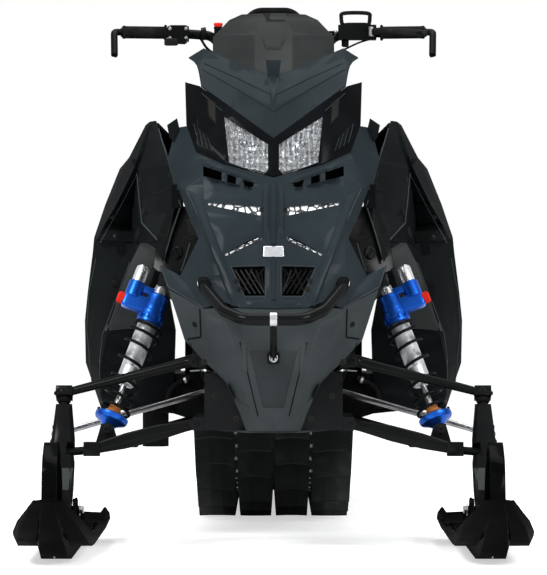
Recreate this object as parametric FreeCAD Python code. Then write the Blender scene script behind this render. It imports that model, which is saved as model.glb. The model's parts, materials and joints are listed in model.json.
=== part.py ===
import FreeCAD, Part
import math
import os

from FreeCAD import Vector

# Snowmobile for deep snow, in millimetres.
# The machine faces -Y, the rider's left is +X, and +Z is up.
# Lengths along Y are counted from the ski bolts. The last function moves all to the origin.

# Overall layout
SKI_STANCE = 914.0
STEERING_LEAN_DEG = 25.0
KINGPIN_X = SKI_STANCE / 2
BAR_CLAMP_Z = 1130.0
TAIL_Y = 2800.0
RUNNING_FIT = 0.05
SEAT_GAP = 0.3
PANEL_WALL = 3.0

# Skis
SKI_TIP_Y = -570.0
SKI_TAIL_Y = 500.0
SKI_WIDTH = 175.0
SKI_KEEL_DEPTH = 31.0
SKI_KEEL_WIDTH = 58.0
SKI_DECK = 7.0
SKI_FLANGE = 22.0
SKI_TIP_Z = 138.0
SKI_BOLT_Z = 95.0
SKI_BOLT_RADIUS = 8.0
SKI_EAR_WALL = 9.0
SKI_EAR_RADIUS = 24.0
SKI_EAR_GAP = 3.0
SKI_HANDLE_WIDTH = 30.0
SKI_HANDLE_BAND = 15.0
SKI_HANDLE_TOP_Z = 264.0

# Spindles
BALL_LOW_Y = 20.0
BALL_LOW_Z = 218.0
BALL_SPAN = 140.0
BALL_RADIUS = 15.0
STUD_RADIUS = 9.0
NUT_RADIUS = 12.5
NUT_HEIGHT = 6.0
NUT_ROOM = 0.6
SPINDLE_FOOT_WIDTH = 40.0
SPINDLE_WIDTH = 50.0
SPINDLE_TOP_WIDTH = 34.0
STEER_ARM = 105.0
STEER_ARM_RISE = 63.0
STEER_STOP_DEG = 30.0
STEER_PIN_X = 22.0
STEER_PIN_RADIUS = 6.0
STEER_EYE_RADIUS = 13.0
STEER_EYE_HEIGHT = 16.0
ROD_END_RADIUS = 11.0
ROD_END_LIFT = 24.0
ROD_RADIUS = 7.0
PIN_CAP_RADIUS = 8.5
PIN_CAP_HEIGHT = 6.0
PITMAN_Y = 279.6
PITMAN_Z = 400.0
PITMAN_PLATE = 8.0

# Suspension arms
UPPER_PIVOT_X = 171.0
UPPER_PIVOT_Z = 417.0
UPPER_PIVOT_FRONT_Y = 60.0
UPPER_PIVOT_REAR_Y = 300.0
UPPER_TUBE_RADIUS = 11.0
ARM_BLOCK_WIDTH = 36.0
ARM_BLOCK_HEIGHT = 22.0
LOWER_PIVOT_X = 168.0
LOWER_PIVOT_Z = 280.0
LOWER_PIVOT_FRONT_Y = 50.0
LOWER_PIVOT_REAR_Y = 330.0
LOWER_TUBE_RADIUS = 12.5
PIVOT_RADIUS = 15.0
PIVOT_LENGTH = 60.0
PIVOT_EAR_REACH = 6.0

# Front shocks
SHOCK_LOW = Vector(364, 84, 266)
SHOCK_TOP = Vector(240, 192, 592)
SHOCK_EYE_RADIUS = 14.0
SHOCK_EYE_WIDTH = 26.0
SHOCK_PERCH_RISE = 22.0
SHOCK_ROD_RADIUS = 6.5
SHOCK_BODY_RADIUS = 25.0
SHOCK_NECK_RADIUS = 9.0
SPRING_RADIUS = 34.0
SPRING_WIRE = 7.0
SPRING_COILS = 7
RESERVOIR_RADIUS = 18.0

# Bulkhead and engine
BULKHEAD_HALF_WIDTH = 150.0
BULKHEAD_FRONT_Y = 10.0
BULKHEAD_REAR_Y = 416.0
BULKHEAD_TOP_Z = 500.0
BULKHEAD_WALL = 6.0
ENGINE_HALF_WIDTH = 165.0
ENGINE_LOW_Z = 300.0
ENGINE_TOP_Z = 590.0
BELLY_Z = 262.0
BELLY_WALL = 4.0
BULKHEAD_LOW_Z = BELLY_Z + BELLY_WALL

# Track
TRACK_WIDTH = 381.0
TRACK_BELT = 6.0
LUG_HEIGHT = 66.0
LUG_ROWS = 52
LUG_BASE = 22.0
LUG_TIP = 9.0
LUG_CUP = 10.0
OUTER_LUG_WIDTH = 100.0
INNER_LUG_WIDTH = 88.0
DRIVE_Y = 850.0
DRIVE_Z = 372.0
DRIVE_RADIUS = 93.0
DRIVE_SHAFT_RADIUS = 11.0
IDLER_Y = 2510.0
IDLER_RADIUS = 100.0
CONTACT_START_Y = 1450.0
APPROACH_Y = 1180.0
APPROACH_Z = 124.0
TRACK_INNER_Z = LUG_HEIGHT + TRACK_BELT
BELT_CLEARANCE = 1.2

# Skid frame
RAIL_X = 98.0
RAIL_THICK = 14.0
RAIL_HEIGHT = 58.0
RAIL_FRONT_Y = 1010.0
BOGIE_RADIUS = 68.0
BOGIE_WIDTH = 20.0
BOGIE_YS = (1520.0, 1890.0, 2230.0)
FRONT_ARM_Y = 1130.0
FRONT_ARM_FOOT_Y = 1330.0
REAR_ARM_Y = 1820.0
REAR_ARM_FOOT_Y = 2120.0
ARM_TUBE_RADIUS = 14.0

# Tunnel
TUNNEL_HALF_WIDTH = 206.0
TUNNEL_WALL = 3.0
TUNNEL_FRONT_Y = 655.0
TUNNEL_REAR_Y = 2450.0
TUNNEL_FRONT_Z = 578.0
TUNNEL_REAR_Z = 518.0
BOARD_Z = 358.0
BOARD_WALL = 3.0
BOARD_FRONT_Y = 660.0
BOARD_REAR_Y = 2360.0
BOARD_HALF_WIDTH = 392.0
BOARD_EDGE_RADIUS = 11.0
BOARD_SLOTS = 16
BOARD_SLOT_LENGTH = 66.0
BOARD_SLOT_WIDTH = 92.0
RACK_HOLE_RADIUS = 3.5
RACK_SPACING_X = 200.0
RACK_SPACING_Y = 200.0
RACK_BOSS_RADIUS = 10.0
RACK_BOSS_HEIGHT = 6.0
RACK_CENTRE_Y = 2110.0

# Body
HOOD_LIP_Y = -152.0
HOOD_LIP_Z = 530.0
CONSOLE_FRONT_Y = 350.0
CONSOLE_TOP_Z = 1002.0
CONSOLE_WALL = 5.0
CONSOLE_REAR_Y = 1010.0
SEAT_FRONT_Y = 1014.0
SEAT_REAR_Y = 1760.0
SEAT_TOP_Z = 868.0
FLAP_WALL = 7.0
BUMPER_RADIUS = 12.5
BUMPER_ROOM = 2.0

# Exhaust outlet, on the rider's right
EXHAUST_X = -271.0
EXHAUST_Y = 545.0
EXHAUST_LOW_Z = 211.0
EXHAUST_RADIUS = 30.0

# Handlebar
BAR_RADIUS = 11.0
BAR_BEND_X = 236.0
BAR_FORWARD = 14.0
BAR_RISE = 36.0
BAR_SWEEP = 22.0
GRIP_RADIUS = 14.5
GRIP_INNER_X = 250.0
GRIP_OUTER_X = 352.0
STRAP_RISE = 97.0
STRAP_HALF_WIDTH = 76.0
STRAP_RADIUS = 7.0
POST_RADIUS = 14.0
UPPER_BEARING_DROP = 205.0

# Left openings of the hood, as (x, z) outlines seen from the front
HOOD_WINDOWS = (
    ((152, 838), (112, 825), (112, 804), (152, 817)),
    ((100, 820), (81, 814), (81, 793), (100, 800)),
    ((66, 808), (42, 801), (43, 793), (61, 789)),
    ((141, 758), (25, 748), (29, 730), (141, 753.5)),
    ((107, 647), (35, 685.5), (25, 680), (101, 643.5)),
    ((88, 619), (18.5, 620.5), (18.5, 558), (61, 558)),
)

LEAN = math.radians(STEERING_LEAN_DEG)
STEER_AXIS = Vector(0, math.sin(LEAN), math.cos(LEAN))
STEER_REAR = Vector(0, math.cos(LEAN), -math.sin(LEAN))
ALONG_X = Vector(1, 0, 0)
ALONG_Y = Vector(0, 1, 0)
ALONG_Z = Vector(0, 0, 1)
ORIGIN_Y = (SKI_TIP_Y + TAIL_Y) / 2
BAR_CLAMP_Y = PITMAN_Y + (BAR_CLAMP_Z - PITMAN_Z) * math.tan(LEAN)


def kingpin(rise):
    """Point on the left kingpin axis, this far above the lower ball."""
    return Vector(KINGPIN_X, BALL_LOW_Y, BALL_LOW_Z) + STEER_AXIS * rise


def post_point(z):
    """Point of the steering post axis at this height."""
    return Vector(0, PITMAN_Y + (z - PITMAN_Z) * math.tan(LEAN), z)


def mirrored(shape):
    """The same shape on the rider's right."""
    return shape.mirror(Vector(0, 0, 0), ALONG_X)


def joined(shapes):
    """One solid from overlapping or touching shapes."""
    first = shapes[0]
    return first.fuse(shapes[1:]).removeSplitter()


def polygon(points):
    """Flat face inside a closed polygon of points."""
    return Part.Face(Part.makePolygon(points + [points[0]]))


def prism_x(profile, x0, x1):
    """Outline of (y, z) pairs made solid from x0 to x1."""
    return polygon([Vector(x0, y, z) for y, z in profile]).extrude(ALONG_X * (x1 - x0))


def prism_y(profile, y0, y1):
    """Outline of (x, z) pairs made solid from y0 to y1."""
    return polygon([Vector(x, y0, z) for x, z in profile]).extrude(ALONG_Y * (y1 - y0))


def prism_z(profile, z0, z1):
    """Outline of (x, y) pairs made solid from z0 to z1."""
    return polygon([Vector(x, y, z0) for x, y in profile]).extrude(ALONG_Z * (z1 - z0))


def block(low, high):
    """Box between two corners."""
    size = high - low
    return Part.makeBox(size.x, size.y, size.z, low)


def rod(start, end, radius):
    """Round bar between two points."""
    return Part.makeCylinder(radius, (end - start).Length, start, end - start)


def boss(centre, axis, radius, length):
    """Round bar of this length, centred on a point."""
    half = axis * (length / 2)
    return rod(centre - half, centre + half, radius)


def bent_path(points, bend):
    """Wire of straight runs joined by tangent arcs of one bend radius."""
    edges = []
    start = points[0]
    for before, corner, after in zip(points, points[1:], points[2:]):
        back = (before - corner).normalize()
        ahead = (after - corner).normalize()
        turn = math.pi - back.getAngle(ahead)
        room = 0.48 * min((before - corner).Length, (after - corner).Length)
        cut = min(bend * math.tan(turn / 2), room)
        radius = cut / math.tan(turn / 2)
        middle = (back + ahead).normalize()
        top = corner + middle * (math.hypot(cut, radius) - radius)
        edges.append(Part.LineSegment(start, corner + back * cut).toShape())
        edges.append(Part.Arc(corner + back * cut, top, corner + ahead * cut).toShape())
        start = corner + ahead * cut
    edges.append(Part.LineSegment(start, points[-1]).toShape())
    return Part.Wire(edges)


def bent_tube(points, radius, bend):
    """Solid round tube along a bent path."""
    ring = Part.Wire(Part.makeCircle(radius, points[0], points[1] - points[0]))
    return bent_path(points, bend).makePipeShell([ring], True, True)


def section_loft(sections, ruled=True):
    """Solid through closed polygon sections, each a list of points."""
    wires = [Part.makePolygon(points + [points[0]]) for points in sections]
    return Part.makeLoft(wires, True, ruled)


def patch(a, b, c, d):
    """Four sided face, flat where its corners allow and else ruled."""
    if abs((b - a).cross(c - a).dot(d - a)) < 1e-3:
        return polygon([a, b, c, d])
    surface = Part.BezierSurface(1, 1)
    for row, column, pole in ((1, 1, a), (2, 1, b), (2, 2, c), (1, 2, d)):
        surface.setPole(row, column, pole)
    return surface.toShape()


def wall_cells(lines, gaps):
    """Cells of a net of lines that carry the wall, as row and column numbers."""
    rows = range(len(lines) - 1)
    columns = range(len(lines[0]) - 1)
    return {(i, j) for i in rows for j in columns if (i, j) not in gaps}


def inward_steps(lines, cells, wall):
    """Step from each point of a net of lines to the inner side of its wall."""
    steps = []
    for row, line in enumerate(lines):
        step_line = []
        for column, point in enumerate(line):
            normals = []
            for i in (row - 1, row):
                for j in (column - 1, column):
                    if (i, j) in cells:
                        across = lines[i + 1][j + 1] - lines[i][j]
                        along = lines[i + 1][j] - lines[i][j + 1]
                        normals.append(across.cross(along).normalize())
            mean = sum(normals, Vector())
            if normals:
                mean.normalize()
                reach = max(min(mean.dot(normal) for normal in normals), 0.6)
                mean = mean * (wall / reach)
            if abs(point.x) < 1e-6:
                mean.x = 0
            step_line.append(mean)
        steps.append(step_line)
    return steps


def skin(lines, wall=PANEL_WALL, gaps=()):
    """Moulded panel whose outer side runs through its character lines, open at the gaps."""
    cells = wall_cells(lines, gaps)
    steps = inward_steps(lines, cells, wall)
    inner = [[p + s for p, s in zip(line, step)] for line, step in zip(lines, steps)]
    faces = []
    for i, j in sorted(cells):
        corners = ((i, j), (i, j + 1), (i + 1, j + 1), (i + 1, j))
        for net in (lines, inner):
            faces.append(patch(*[net[row][column] for row, column in corners]))
        beside = ((i - 1, j), (i, j + 1), (i + 1, j), (i, j - 1))
        for side, neighbour in enumerate(beside):
            if neighbour not in cells:
                r0, c0 = corners[side]
                r1, c1 = corners[(side + 1) % 4]
                faces.append(patch(lines[r0][c0], lines[r1][c1], inner[r1][c1], inner[r0][c0]))
    shell = Part.makeShell(faces)
    shell.sewShape()
    return outward(Part.Solid(shell))


def largest(shape):
    """The biggest solid of a cut."""
    return max(shape.Solids, key=lambda solid: solid.Volume)


def outward(solid):
    """The solid with its faces turned outwards."""
    if solid.Volume < 0:
        solid.reverse()
    return solid


def save(name, shape):
    """Write one piece, moved to the object's origin."""
    moved = shape.copy()
    moved.translate(Vector(0, -ORIGIN_Y, 0))
    moved.exportStep("parts/" + name + ".step")


def save_pair(name, shape):
    """Write the left piece and its mirror image on the right."""
    save(name + "_left", shape)
    save(name + "_right", mirrored(shape))


# Skis and spindles

def ski_section(y, deck_z, half_width, keel):
    """Cross section of the ski: keel, runner floor, raised edge and spine."""
    share = half_width / (SKI_WIDTH / 2)
    keel_half = SKI_KEEL_WIDTH / 2 * share
    flange = SKI_FLANGE * share
    half = [
        (keel_half, -keel),
        (keel_half + 6 * share, 0),
        (half_width - 10 * share, 0),
        (half_width, flange),
        (half_width - 6 * share, flange),
        (half_width - 15 * share, SKI_DECK),
        (26 * share, SKI_DECK + 2),
        (14 * share, SKI_DECK + 9 * share),
    ]
    outline = half + [(-x, z) for x, z in reversed(half)]
    return [Vector(KINGPIN_X + x, y, deck_z + z) for x, z in outline]


def make_ski():
    """Moulded ski with its keel and the saddle ears that hold the bolt."""
    deck = SKI_KEEL_DEPTH
    half = SKI_WIDTH / 2
    stations = [
        (SKI_TIP_Y, SKI_TIP_Z, 0.34 * half, 2),
        (SKI_TIP_Y + 40, SKI_TIP_Z - 28, 0.55 * half, 5),
        (SKI_TIP_Y + 95, deck + 50, 0.78 * half, 12),
        (SKI_TIP_Y + 170, deck + 20, 0.94 * half, 20),
        (SKI_TIP_Y + 270, deck + 4, half, 27),
        (SKI_TIP_Y + 390, deck, half, SKI_KEEL_DEPTH),
        (SKI_TAIL_Y - 90, deck, half, SKI_KEEL_DEPTH),
        (SKI_TAIL_Y - 25, deck + 10, 0.95 * half, 18),
        (SKI_TAIL_Y, deck + 24, 0.84 * half, 6),
    ]
    body = section_loft([ski_section(*station) for station in stations])
    top = deck + SKI_DECK + 4
    ear_x = SPINDLE_FOOT_WIDTH / 2 + SKI_EAR_GAP
    pieces = [body]
    for side in (-1, 1):
        inner = KINGPIN_X + side * ear_x
        outer = KINGPIN_X + side * (ear_x + SKI_EAR_WALL)
        profile = [(-120, top - 8), (130, top - 8), (70, top + 22), (SKI_EAR_RADIUS, SKI_BOLT_Z)]
        profile += [(-SKI_EAR_RADIUS, SKI_BOLT_Z), (-66, top + 22)]
        pieces.append(prism_x(profile, inner, outer))
        round_top = rod(Vector(inner, 0, SKI_BOLT_Z), Vector(outer, 0, SKI_BOLT_Z), SKI_EAR_RADIUS)
        pieces.append(round_top)
    reach = ear_x + SKI_EAR_WALL + 8
    pieces.append(boss(Vector(KINGPIN_X, 0, SKI_BOLT_Z), ALONG_X, SKI_BOLT_RADIUS, 2 * reach))
    return joined(pieces)


def make_ski_handle(ski):
    """Loop at the front of the ski that a hand pulls it by."""
    foot_z = SKI_KEEL_DEPTH + SKI_DECK + 22
    route = [
        Vector(KINGPIN_X, SKI_TIP_Y + 30, SKI_TIP_Z - 24),
        Vector(KINGPIN_X, SKI_TIP_Y + 60, SKI_TIP_Z + 76),
        Vector(KINGPIN_X, SKI_TIP_Y + 150, SKI_HANDLE_TOP_Z - SKI_HANDLE_BAND / 2),
        Vector(KINGPIN_X, SKI_TIP_Y + 260, SKI_HANDLE_TOP_Z - 70),
        Vector(KINGPIN_X, SKI_TIP_Y + 350, foot_z - 22),
    ]
    half = SKI_HANDLE_WIDTH / 2
    thick = SKI_HANDLE_BAND / 2
    across = (route[1] - route[0]).cross(ALONG_X).normalize()
    corners = [route[0] + ALONG_X * sx * half + across * st * thick
               for sx, st in ((-1, -1), (1, -1), (1, 1), (-1, 1))]
    ring = Part.makePolygon(corners + [corners[0]])
    loop = bent_path(route, 60).makePipeShell([ring], True, True)
    return largest(outward(loop).cut(ski))


def spindle_section(z, centre_y, width, depth):
    """Level section of the spindle leg with cut corners."""
    x = width / 2
    y = depth / 2
    c = 0.3 * x
    outline = [(x - c, -y), (x, -y + c), (x, y - c), (x - c, y)]
    outline += [(-x + c, y), (-x, y - c), (-x, -y + c), (-x + c, -y)]
    return [Vector(KINGPIN_X + px, centre_y + py, z) for px, py in outline]


def steering_pin(eye):
    """Pin up from an eye along the steering axis, with the cap that holds the rod end on it."""
    top = eye + STEER_AXIS * (ROD_END_LIFT + ROD_END_RADIUS + 3)
    cap = rod(top, top + STEER_AXIS * PIN_CAP_HEIGHT, PIN_CAP_RADIUS)
    return [rod(eye, top, STEER_PIN_RADIUS), cap]


def make_spindle():
    """Spindle leg with its foot bush, ball pocket, top stud and steering arm."""
    top = kingpin(BALL_SPAN - 26)
    sections = [
        spindle_section(SKI_BOLT_Z + 4, 2, SPINDLE_FOOT_WIDTH, 40),
        spindle_section(SKI_BOLT_Z + 40, 6, SPINDLE_WIDTH - 4, 52),
        spindle_section(BALL_LOW_Z - 30, BALL_LOW_Y - 6, SPINDLE_WIDTH, 56),
        spindle_section(BALL_LOW_Z + 26, BALL_LOW_Y + 12, SPINDLE_WIDTH, 54),
        spindle_section(top.z, top.y, SPINDLE_TOP_WIDTH, 36),
    ]
    leg = section_loft(sections)
    bush = boss(Vector(KINGPIN_X, 0, SKI_BOLT_Z), ALONG_X, SKI_EAR_RADIUS - 2, SPINDLE_FOOT_WIDTH)
    arm_root = kingpin(STEER_ARM_RISE)
    arm_end = arm_root + STEER_REAR * STEER_ARM + ALONG_X * STEER_PIN_X
    arm = rod(arm_root + STEER_REAR * 12, arm_end, 10)
    eye = boss(arm_end, STEER_AXIS, STEER_EYE_RADIUS, STEER_EYE_HEIGHT)
    nut_rise = BALL_SPAN + ARM_BLOCK_HEIGHT / 2 - NUT_HEIGHT
    stud = rod(top - STEER_AXIS * 6, kingpin(nut_rise), STUD_RADIUS)
    nut = rod(kingpin(nut_rise), kingpin(nut_rise + NUT_HEIGHT), NUT_RADIUS)
    body = joined([leg, bush, arm, eye, stud, nut] + steering_pin(arm_end))
    ball = kingpin(0)
    pocket = Part.makeSphere(BALL_RADIUS + RUNNING_FIT, ball)
    swing = math.radians(STEER_STOP_DEG + 8)
    reach = 70
    inboard = [
        ball + (ALONG_X * -math.cos(swing) + STEER_REAR * math.sin(swing)) * reach,
        ball + (ALONG_X * -math.cos(swing) - STEER_REAR * math.sin(swing)) * reach,
    ]
    room = STUD_RADIUS + 5
    slot_outline = [ball + ALONG_X * 4 + STEER_REAR * room, inboard[0] + STEER_REAR * room]
    slot_outline += [inboard[1] - STEER_REAR * room, ball + ALONG_X * 4 - STEER_REAR * room]
    slot = polygon([p - STEER_AXIS * room for p in slot_outline]).extrude(STEER_AXIS * 2 * room)
    bolt_hole = boss(Vector(KINGPIN_X, 0, SKI_BOLT_Z), ALONG_X, SKI_BOLT_RADIUS + RUNNING_FIT, 80)
    return largest(body.cut([pocket, slot, bolt_hole]))


def make_tie_rod():
    """Tie rod between the spindle arm and the pitman arm, with a ball end on each pin."""
    lever = STEER_REAR * STEER_ARM + ALONG_X * STEER_PIN_X + STEER_AXIS * ROD_END_LIFT
    outer = kingpin(STEER_ARM_RISE) + lever
    inner = post_point(PITMAN_Z) + lever
    ends = [Part.makeSphere(ROD_END_RADIUS, point) for point in (outer, inner)]
    body = joined([rod(outer, inner, ROD_RADIUS)] + ends)
    bore = STEER_PIN_RADIUS + RUNNING_FIT
    holes = [boss(point, STEER_AXIS, bore, 4 * ROD_END_RADIUS) for point in (outer, inner)]
    return body.cut(holes)


# Suspension arms and shocks

def make_upper_arm():
    """Upper arm: block round the spindle stud with a seat for its nut, and two tubes to the pivots."""
    ring_centre = kingpin(BALL_SPAN)
    half_x = ALONG_X * (ARM_BLOCK_WIDTH / 2)
    half_y = STEER_REAR * (ARM_BLOCK_WIDTH / 2)
    low = ring_centre - STEER_AXIS * (ARM_BLOCK_HEIGHT / 2)
    corners = [low - half_x - half_y, low + half_x - half_y, low + half_x + half_y, low - half_x + half_y]
    pieces = [polygon(corners).extrude(STEER_AXIS * ARM_BLOCK_HEIGHT)]
    for pivot_y in (UPPER_PIVOT_FRONT_Y, UPPER_PIVOT_REAR_Y):
        pivot = Vector(UPPER_PIVOT_X, pivot_y, UPPER_PIVOT_Z)
        run = pivot - ring_centre
        thin, thick = UPPER_TUBE_RADIUS - 2, UPPER_TUBE_RADIUS + 1
        pieces.append(Part.makeCone(thin, thick, run.Length, ring_centre, run))
        pieces.append(boss(pivot, ALONG_Y, PIVOT_RADIUS, PIVOT_LENGTH))
    arm = joined(pieces)
    bore = boss(ring_centre, STEER_AXIS, STUD_RADIUS + RUNNING_FIT, 60)
    nut_seat = ring_centre + STEER_AXIS * (ARM_BLOCK_HEIGHT / 2 - NUT_HEIGHT - NUT_ROOM)
    return arm.cut([bore, rod(nut_seat, nut_seat + STEER_AXIS * 30, NUT_RADIUS + NUT_ROOM)])


def shock_direction():
    """Unit direction from the lower shock eye to the upper one."""
    return (SHOCK_TOP - SHOCK_LOW).normalize()


def lower_beam(start, end):
    """Deep front beam of the lower arm, deepest in the middle."""
    sections = []
    for share, half_height in ((0.0, 11.5), (0.3, 17.0), (0.6, 17.5), (0.94, 12.0)):
        centre = start + (end - start) * share
        half = [(-11, -half_height + 3), (-8, -half_height), (8, -half_height), (11, -half_height + 3)]
        outline = half + [(y, -z) for y, z in reversed(half)]
        sections.append([centre + Vector(0, y, z) for y, z in outline])
    return section_loft(sections)


def make_lower_arm():
    """Lower arm: ball stud, end block, two tubes, gusset and shock ears."""
    ball = kingpin(0)
    block_inner = Vector(ball.x - 68, ball.y + 4, ball.z + 8)
    neck = rod(ball, ball + Vector(-50, 2, 4), STUD_RADIUS)
    end_low = Vector(ball.x - 80, ball.y - 14, ball.z - 8)
    end_block = block(end_low, end_low + Vector(35, 40, 30))
    pieces = [Part.makeSphere(BALL_RADIUS, ball), neck, end_block]
    tubes = []
    for pivot_y, offset in ((LOWER_PIVOT_FRONT_Y, 0), (LOWER_PIVOT_REAR_Y, 14)):
        pivot = Vector(LOWER_PIVOT_X, pivot_y, LOWER_PIVOT_Z)
        start = block_inner + Vector(0, offset, 0)
        tubes.append((start, pivot))
        pieces.append(rod(start, pivot, LOWER_TUBE_RADIUS))
        if offset == 0:
            pieces.append(lower_beam(start, pivot))
        pieces.append(boss(pivot, ALONG_Y, PIVOT_RADIUS, PIVOT_LENGTH))
    corners = []
    for share in (0.04, 0.42):
        for start, pivot in (tubes if share < 0.1 else reversed(tubes)):
            corners.append(start + (pivot - start) * share)
    gusset = prism_z([(p.x, p.y) for p in corners], ball.z + 10, ball.z + 16)
    pieces.append(gusset)
    half = SHOCK_EYE_WIDTH / 2
    for side in (-1, 1):
        y = SHOCK_LOW.y + side * (half + SEAT_GAP)
        ear = [(SHOCK_LOW.x - 26, ball.z + 12), (SHOCK_LOW.x + 26, ball.z + 12)]
        ear += [(SHOCK_LOW.x + 12, SHOCK_LOW.z + 12), (SHOCK_LOW.x - 12, SHOCK_LOW.z + 12)]
        pieces.append(prism_y(ear, y, y + side * 6))
    pin = SHOCK_EYE_RADIUS / 2
    pieces.append(boss(SHOCK_LOW, ALONG_Y, pin, SHOCK_EYE_WIDTH + 30))
    return joined(pieces)


def make_shock():
    """Front shock: eyes, rod, body tube, bridge block and reservoir."""
    along = shock_direction()
    length = (SHOCK_TOP - SHOCK_LOW).Length
    pieces = [boss(SHOCK_LOW, ALONG_Y, SHOCK_EYE_RADIUS, SHOCK_EYE_WIDTH)]
    pieces.append(boss(SHOCK_TOP, ALONG_Y, SHOCK_EYE_RADIUS, SHOCK_EYE_WIDTH))
    low_perch = SHOCK_LOW + along * SHOCK_PERCH_RISE
    pieces.append(rod(SHOCK_LOW + along * 6, SHOCK_LOW + along * 190, SHOCK_ROD_RADIUS))
    pieces.append(rod(low_perch, low_perch + along * 12, 15))
    pieces.append(rod(low_perch + along * 12, low_perch + along * 20, SPRING_RADIUS + 2))
    pieces.append(rod(low_perch + along * 22, low_perch + along * 40, 14))
    pieces.append(rod(SHOCK_LOW + along * 110, SHOCK_LOW + along * 240, SHOCK_BODY_RADIUS - 2))
    pieces.append(rod(SHOCK_LOW + along * 222, SHOCK_LOW + along * 234, SPRING_RADIUS + 1))
    pieces.append(rod(SHOCK_LOW + along * 238, SHOCK_LOW + along * 290, SHOCK_BODY_RADIUS + 2))
    pieces.append(rod(SHOCK_LOW + along * 288, SHOCK_TOP - along * 44, SHOCK_BODY_RADIUS - 6))
    pieces.append(rod(SHOCK_TOP - along * 46, SHOCK_TOP, SHOCK_NECK_RADIUS))
    aside = ALONG_X - along * along.x
    aside.normalize()
    can = SHOCK_LOW + along * 246 + aside * 48
    pieces.append(rod(SHOCK_LOW + along * 264, can + along * 18, 16))
    pieces.append(rod(can, can + along * 84, RESERVOIR_RADIUS))
    pieces.append(rod(can + along * 16, can + along * 42, RESERVOIR_RADIUS + 2))
    pieces.append(rod(can + along * 18, can + along * 18 + aside * 34, 9))
    body = joined(pieces)
    bore = SHOCK_EYE_RADIUS / 2 + RUNNING_FIT
    holes = [boss(point, ALONG_Y, bore, 60) for point in (SHOCK_LOW, SHOCK_TOP)]
    return body.cut(holes)


def make_spring():
    """Coil spring round the shock, with a square wire."""
    along = shock_direction()
    side = along.cross(ALONG_Y).normalize()
    front = along.cross(side)
    start = SHOCK_LOW + along * (SHOCK_PERCH_RISE + 20 + SPRING_WIRE / 2 + SEAT_GAP)
    end = SHOCK_LOW + along * (222 - SPRING_WIRE / 2 - SEAT_GAP)
    steps = SPRING_COILS * 8
    half = SPRING_WIRE / 2
    sections = []
    for i in range(steps + 1):
        angle = 2 * math.pi * i / 8
        out = side * math.cos(angle) + front * math.sin(angle)
        centre = start + (end - start) * (i / steps) + out * SPRING_RADIUS
        corners = ((-1, -1), (1, -1), (1, 1), (-1, 1))
        sections.append([centre + out * (a * half) + along * (b * half) for a, b in corners])
    return section_loft(sections)


# Chassis

def make_bulkhead():
    """Front frame: two side plates with windows, cross plates and shock towers."""
    low = BULKHEAD_LOW_Z
    top = BULKHEAD_TOP_Z
    outline = [(BULKHEAD_FRONT_Y, low), (BULKHEAD_REAR_Y, low), (BULKHEAD_REAR_Y, top)]
    outline += [(BULKHEAD_FRONT_Y + 90, top), (BULKHEAD_FRONT_Y, top - 110)]
    window = [(256, 300), (318, 300), (350, 330), (350, 392), (296, 392), (252, 340)]
    pieces = []
    for side in (-1, 1):
        inner = side * (BULKHEAD_HALF_WIDTH - BULKHEAD_WALL)
        plate = prism_x(outline, inner, side * BULKHEAD_HALF_WIDTH)
        plate = plate.cut(prism_x(window, inner - side, side * BULKHEAD_HALF_WIDTH + side))
        pieces.append(plate)
        tower = [(BULKHEAD_HALF_WIDTH - 20, top - 20), (BULKHEAD_HALF_WIDTH - 4, top - 40)]
        tower += [(SHOCK_TOP.x + 16, SHOCK_TOP.z - 10), (SHOCK_TOP.x + 10, SHOCK_TOP.z + 22)]
        tower += [(SHOCK_TOP.x - 22, SHOCK_TOP.z + 22), (BULKHEAD_HALF_WIDTH - 20, top + 30)]
        for face in (-1, 1):
            y = SHOCK_TOP.y + face * (SHOCK_EYE_WIDTH / 2 + SEAT_GAP)
            pieces.append(prism_y([(side * x, z) for x, z in tower], y, y + face * 6))
        pin_centre = Vector(side * SHOCK_TOP.x, SHOCK_TOP.y, SHOCK_TOP.z)
        pieces.append(boss(pin_centre, ALONG_Y, SHOCK_EYE_RADIUS / 2, SHOCK_EYE_WIDTH + 26))
        for x, z, ys in pivot_rows():
            for y in ys:
                pieces += pivot_ears(side, x, y, z)
    half = BULKHEAD_HALF_WIDTH - BULKHEAD_WALL / 2
    for y, z0, z1 in ((BULKHEAD_FRONT_Y, low, top - 110), (BULKHEAD_REAR_Y - 6, low, top)):
        pieces.append(block(Vector(-half, y, z0), Vector(half, y + 6, z1)))
    pieces.append(block(Vector(-half, BULKHEAD_FRONT_Y, low), Vector(half, BULKHEAD_REAR_Y, low + 5)))
    tower_y = SHOCK_TOP.y
    pieces.append(block(Vector(-half, tower_y - 22, top - 6), Vector(half, tower_y + 22, top)))
    along = shock_direction()
    neck = rod(SHOCK_TOP - along * 60, SHOCK_TOP - along * 8, SHOCK_NECK_RADIUS + SEAT_GAP)
    return joined(pieces).cut([neck, mirrored(neck)])


def pivot_rows():
    """Pivot places of the two arms: x, z and the two y values."""
    return (
        (UPPER_PIVOT_X, UPPER_PIVOT_Z, (UPPER_PIVOT_FRONT_Y, UPPER_PIVOT_REAR_Y)),
        (LOWER_PIVOT_X, LOWER_PIVOT_Z, (LOWER_PIVOT_FRONT_Y, LOWER_PIVOT_REAR_Y)),
    )


def pivot_ears(side, x, y, z):
    """Two ears with the side plate between them, each end of a pivot bush."""
    ears = []
    start = side * (BULKHEAD_HALF_WIDTH - BULKHEAD_WALL / 2)
    end = side * (x + PIVOT_EAR_REACH)
    for face in (-1, 1):
        y0 = y + face * (PIVOT_LENGTH / 2 + SEAT_GAP)
        y1 = y0 + face * 6
        low = Vector(min(start, end), min(y0, y1), z - PIVOT_RADIUS)
        high = Vector(max(start, end), max(y0, y1), z + PIVOT_RADIUS)
        ears.append(block(low, high))
    return ears


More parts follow.
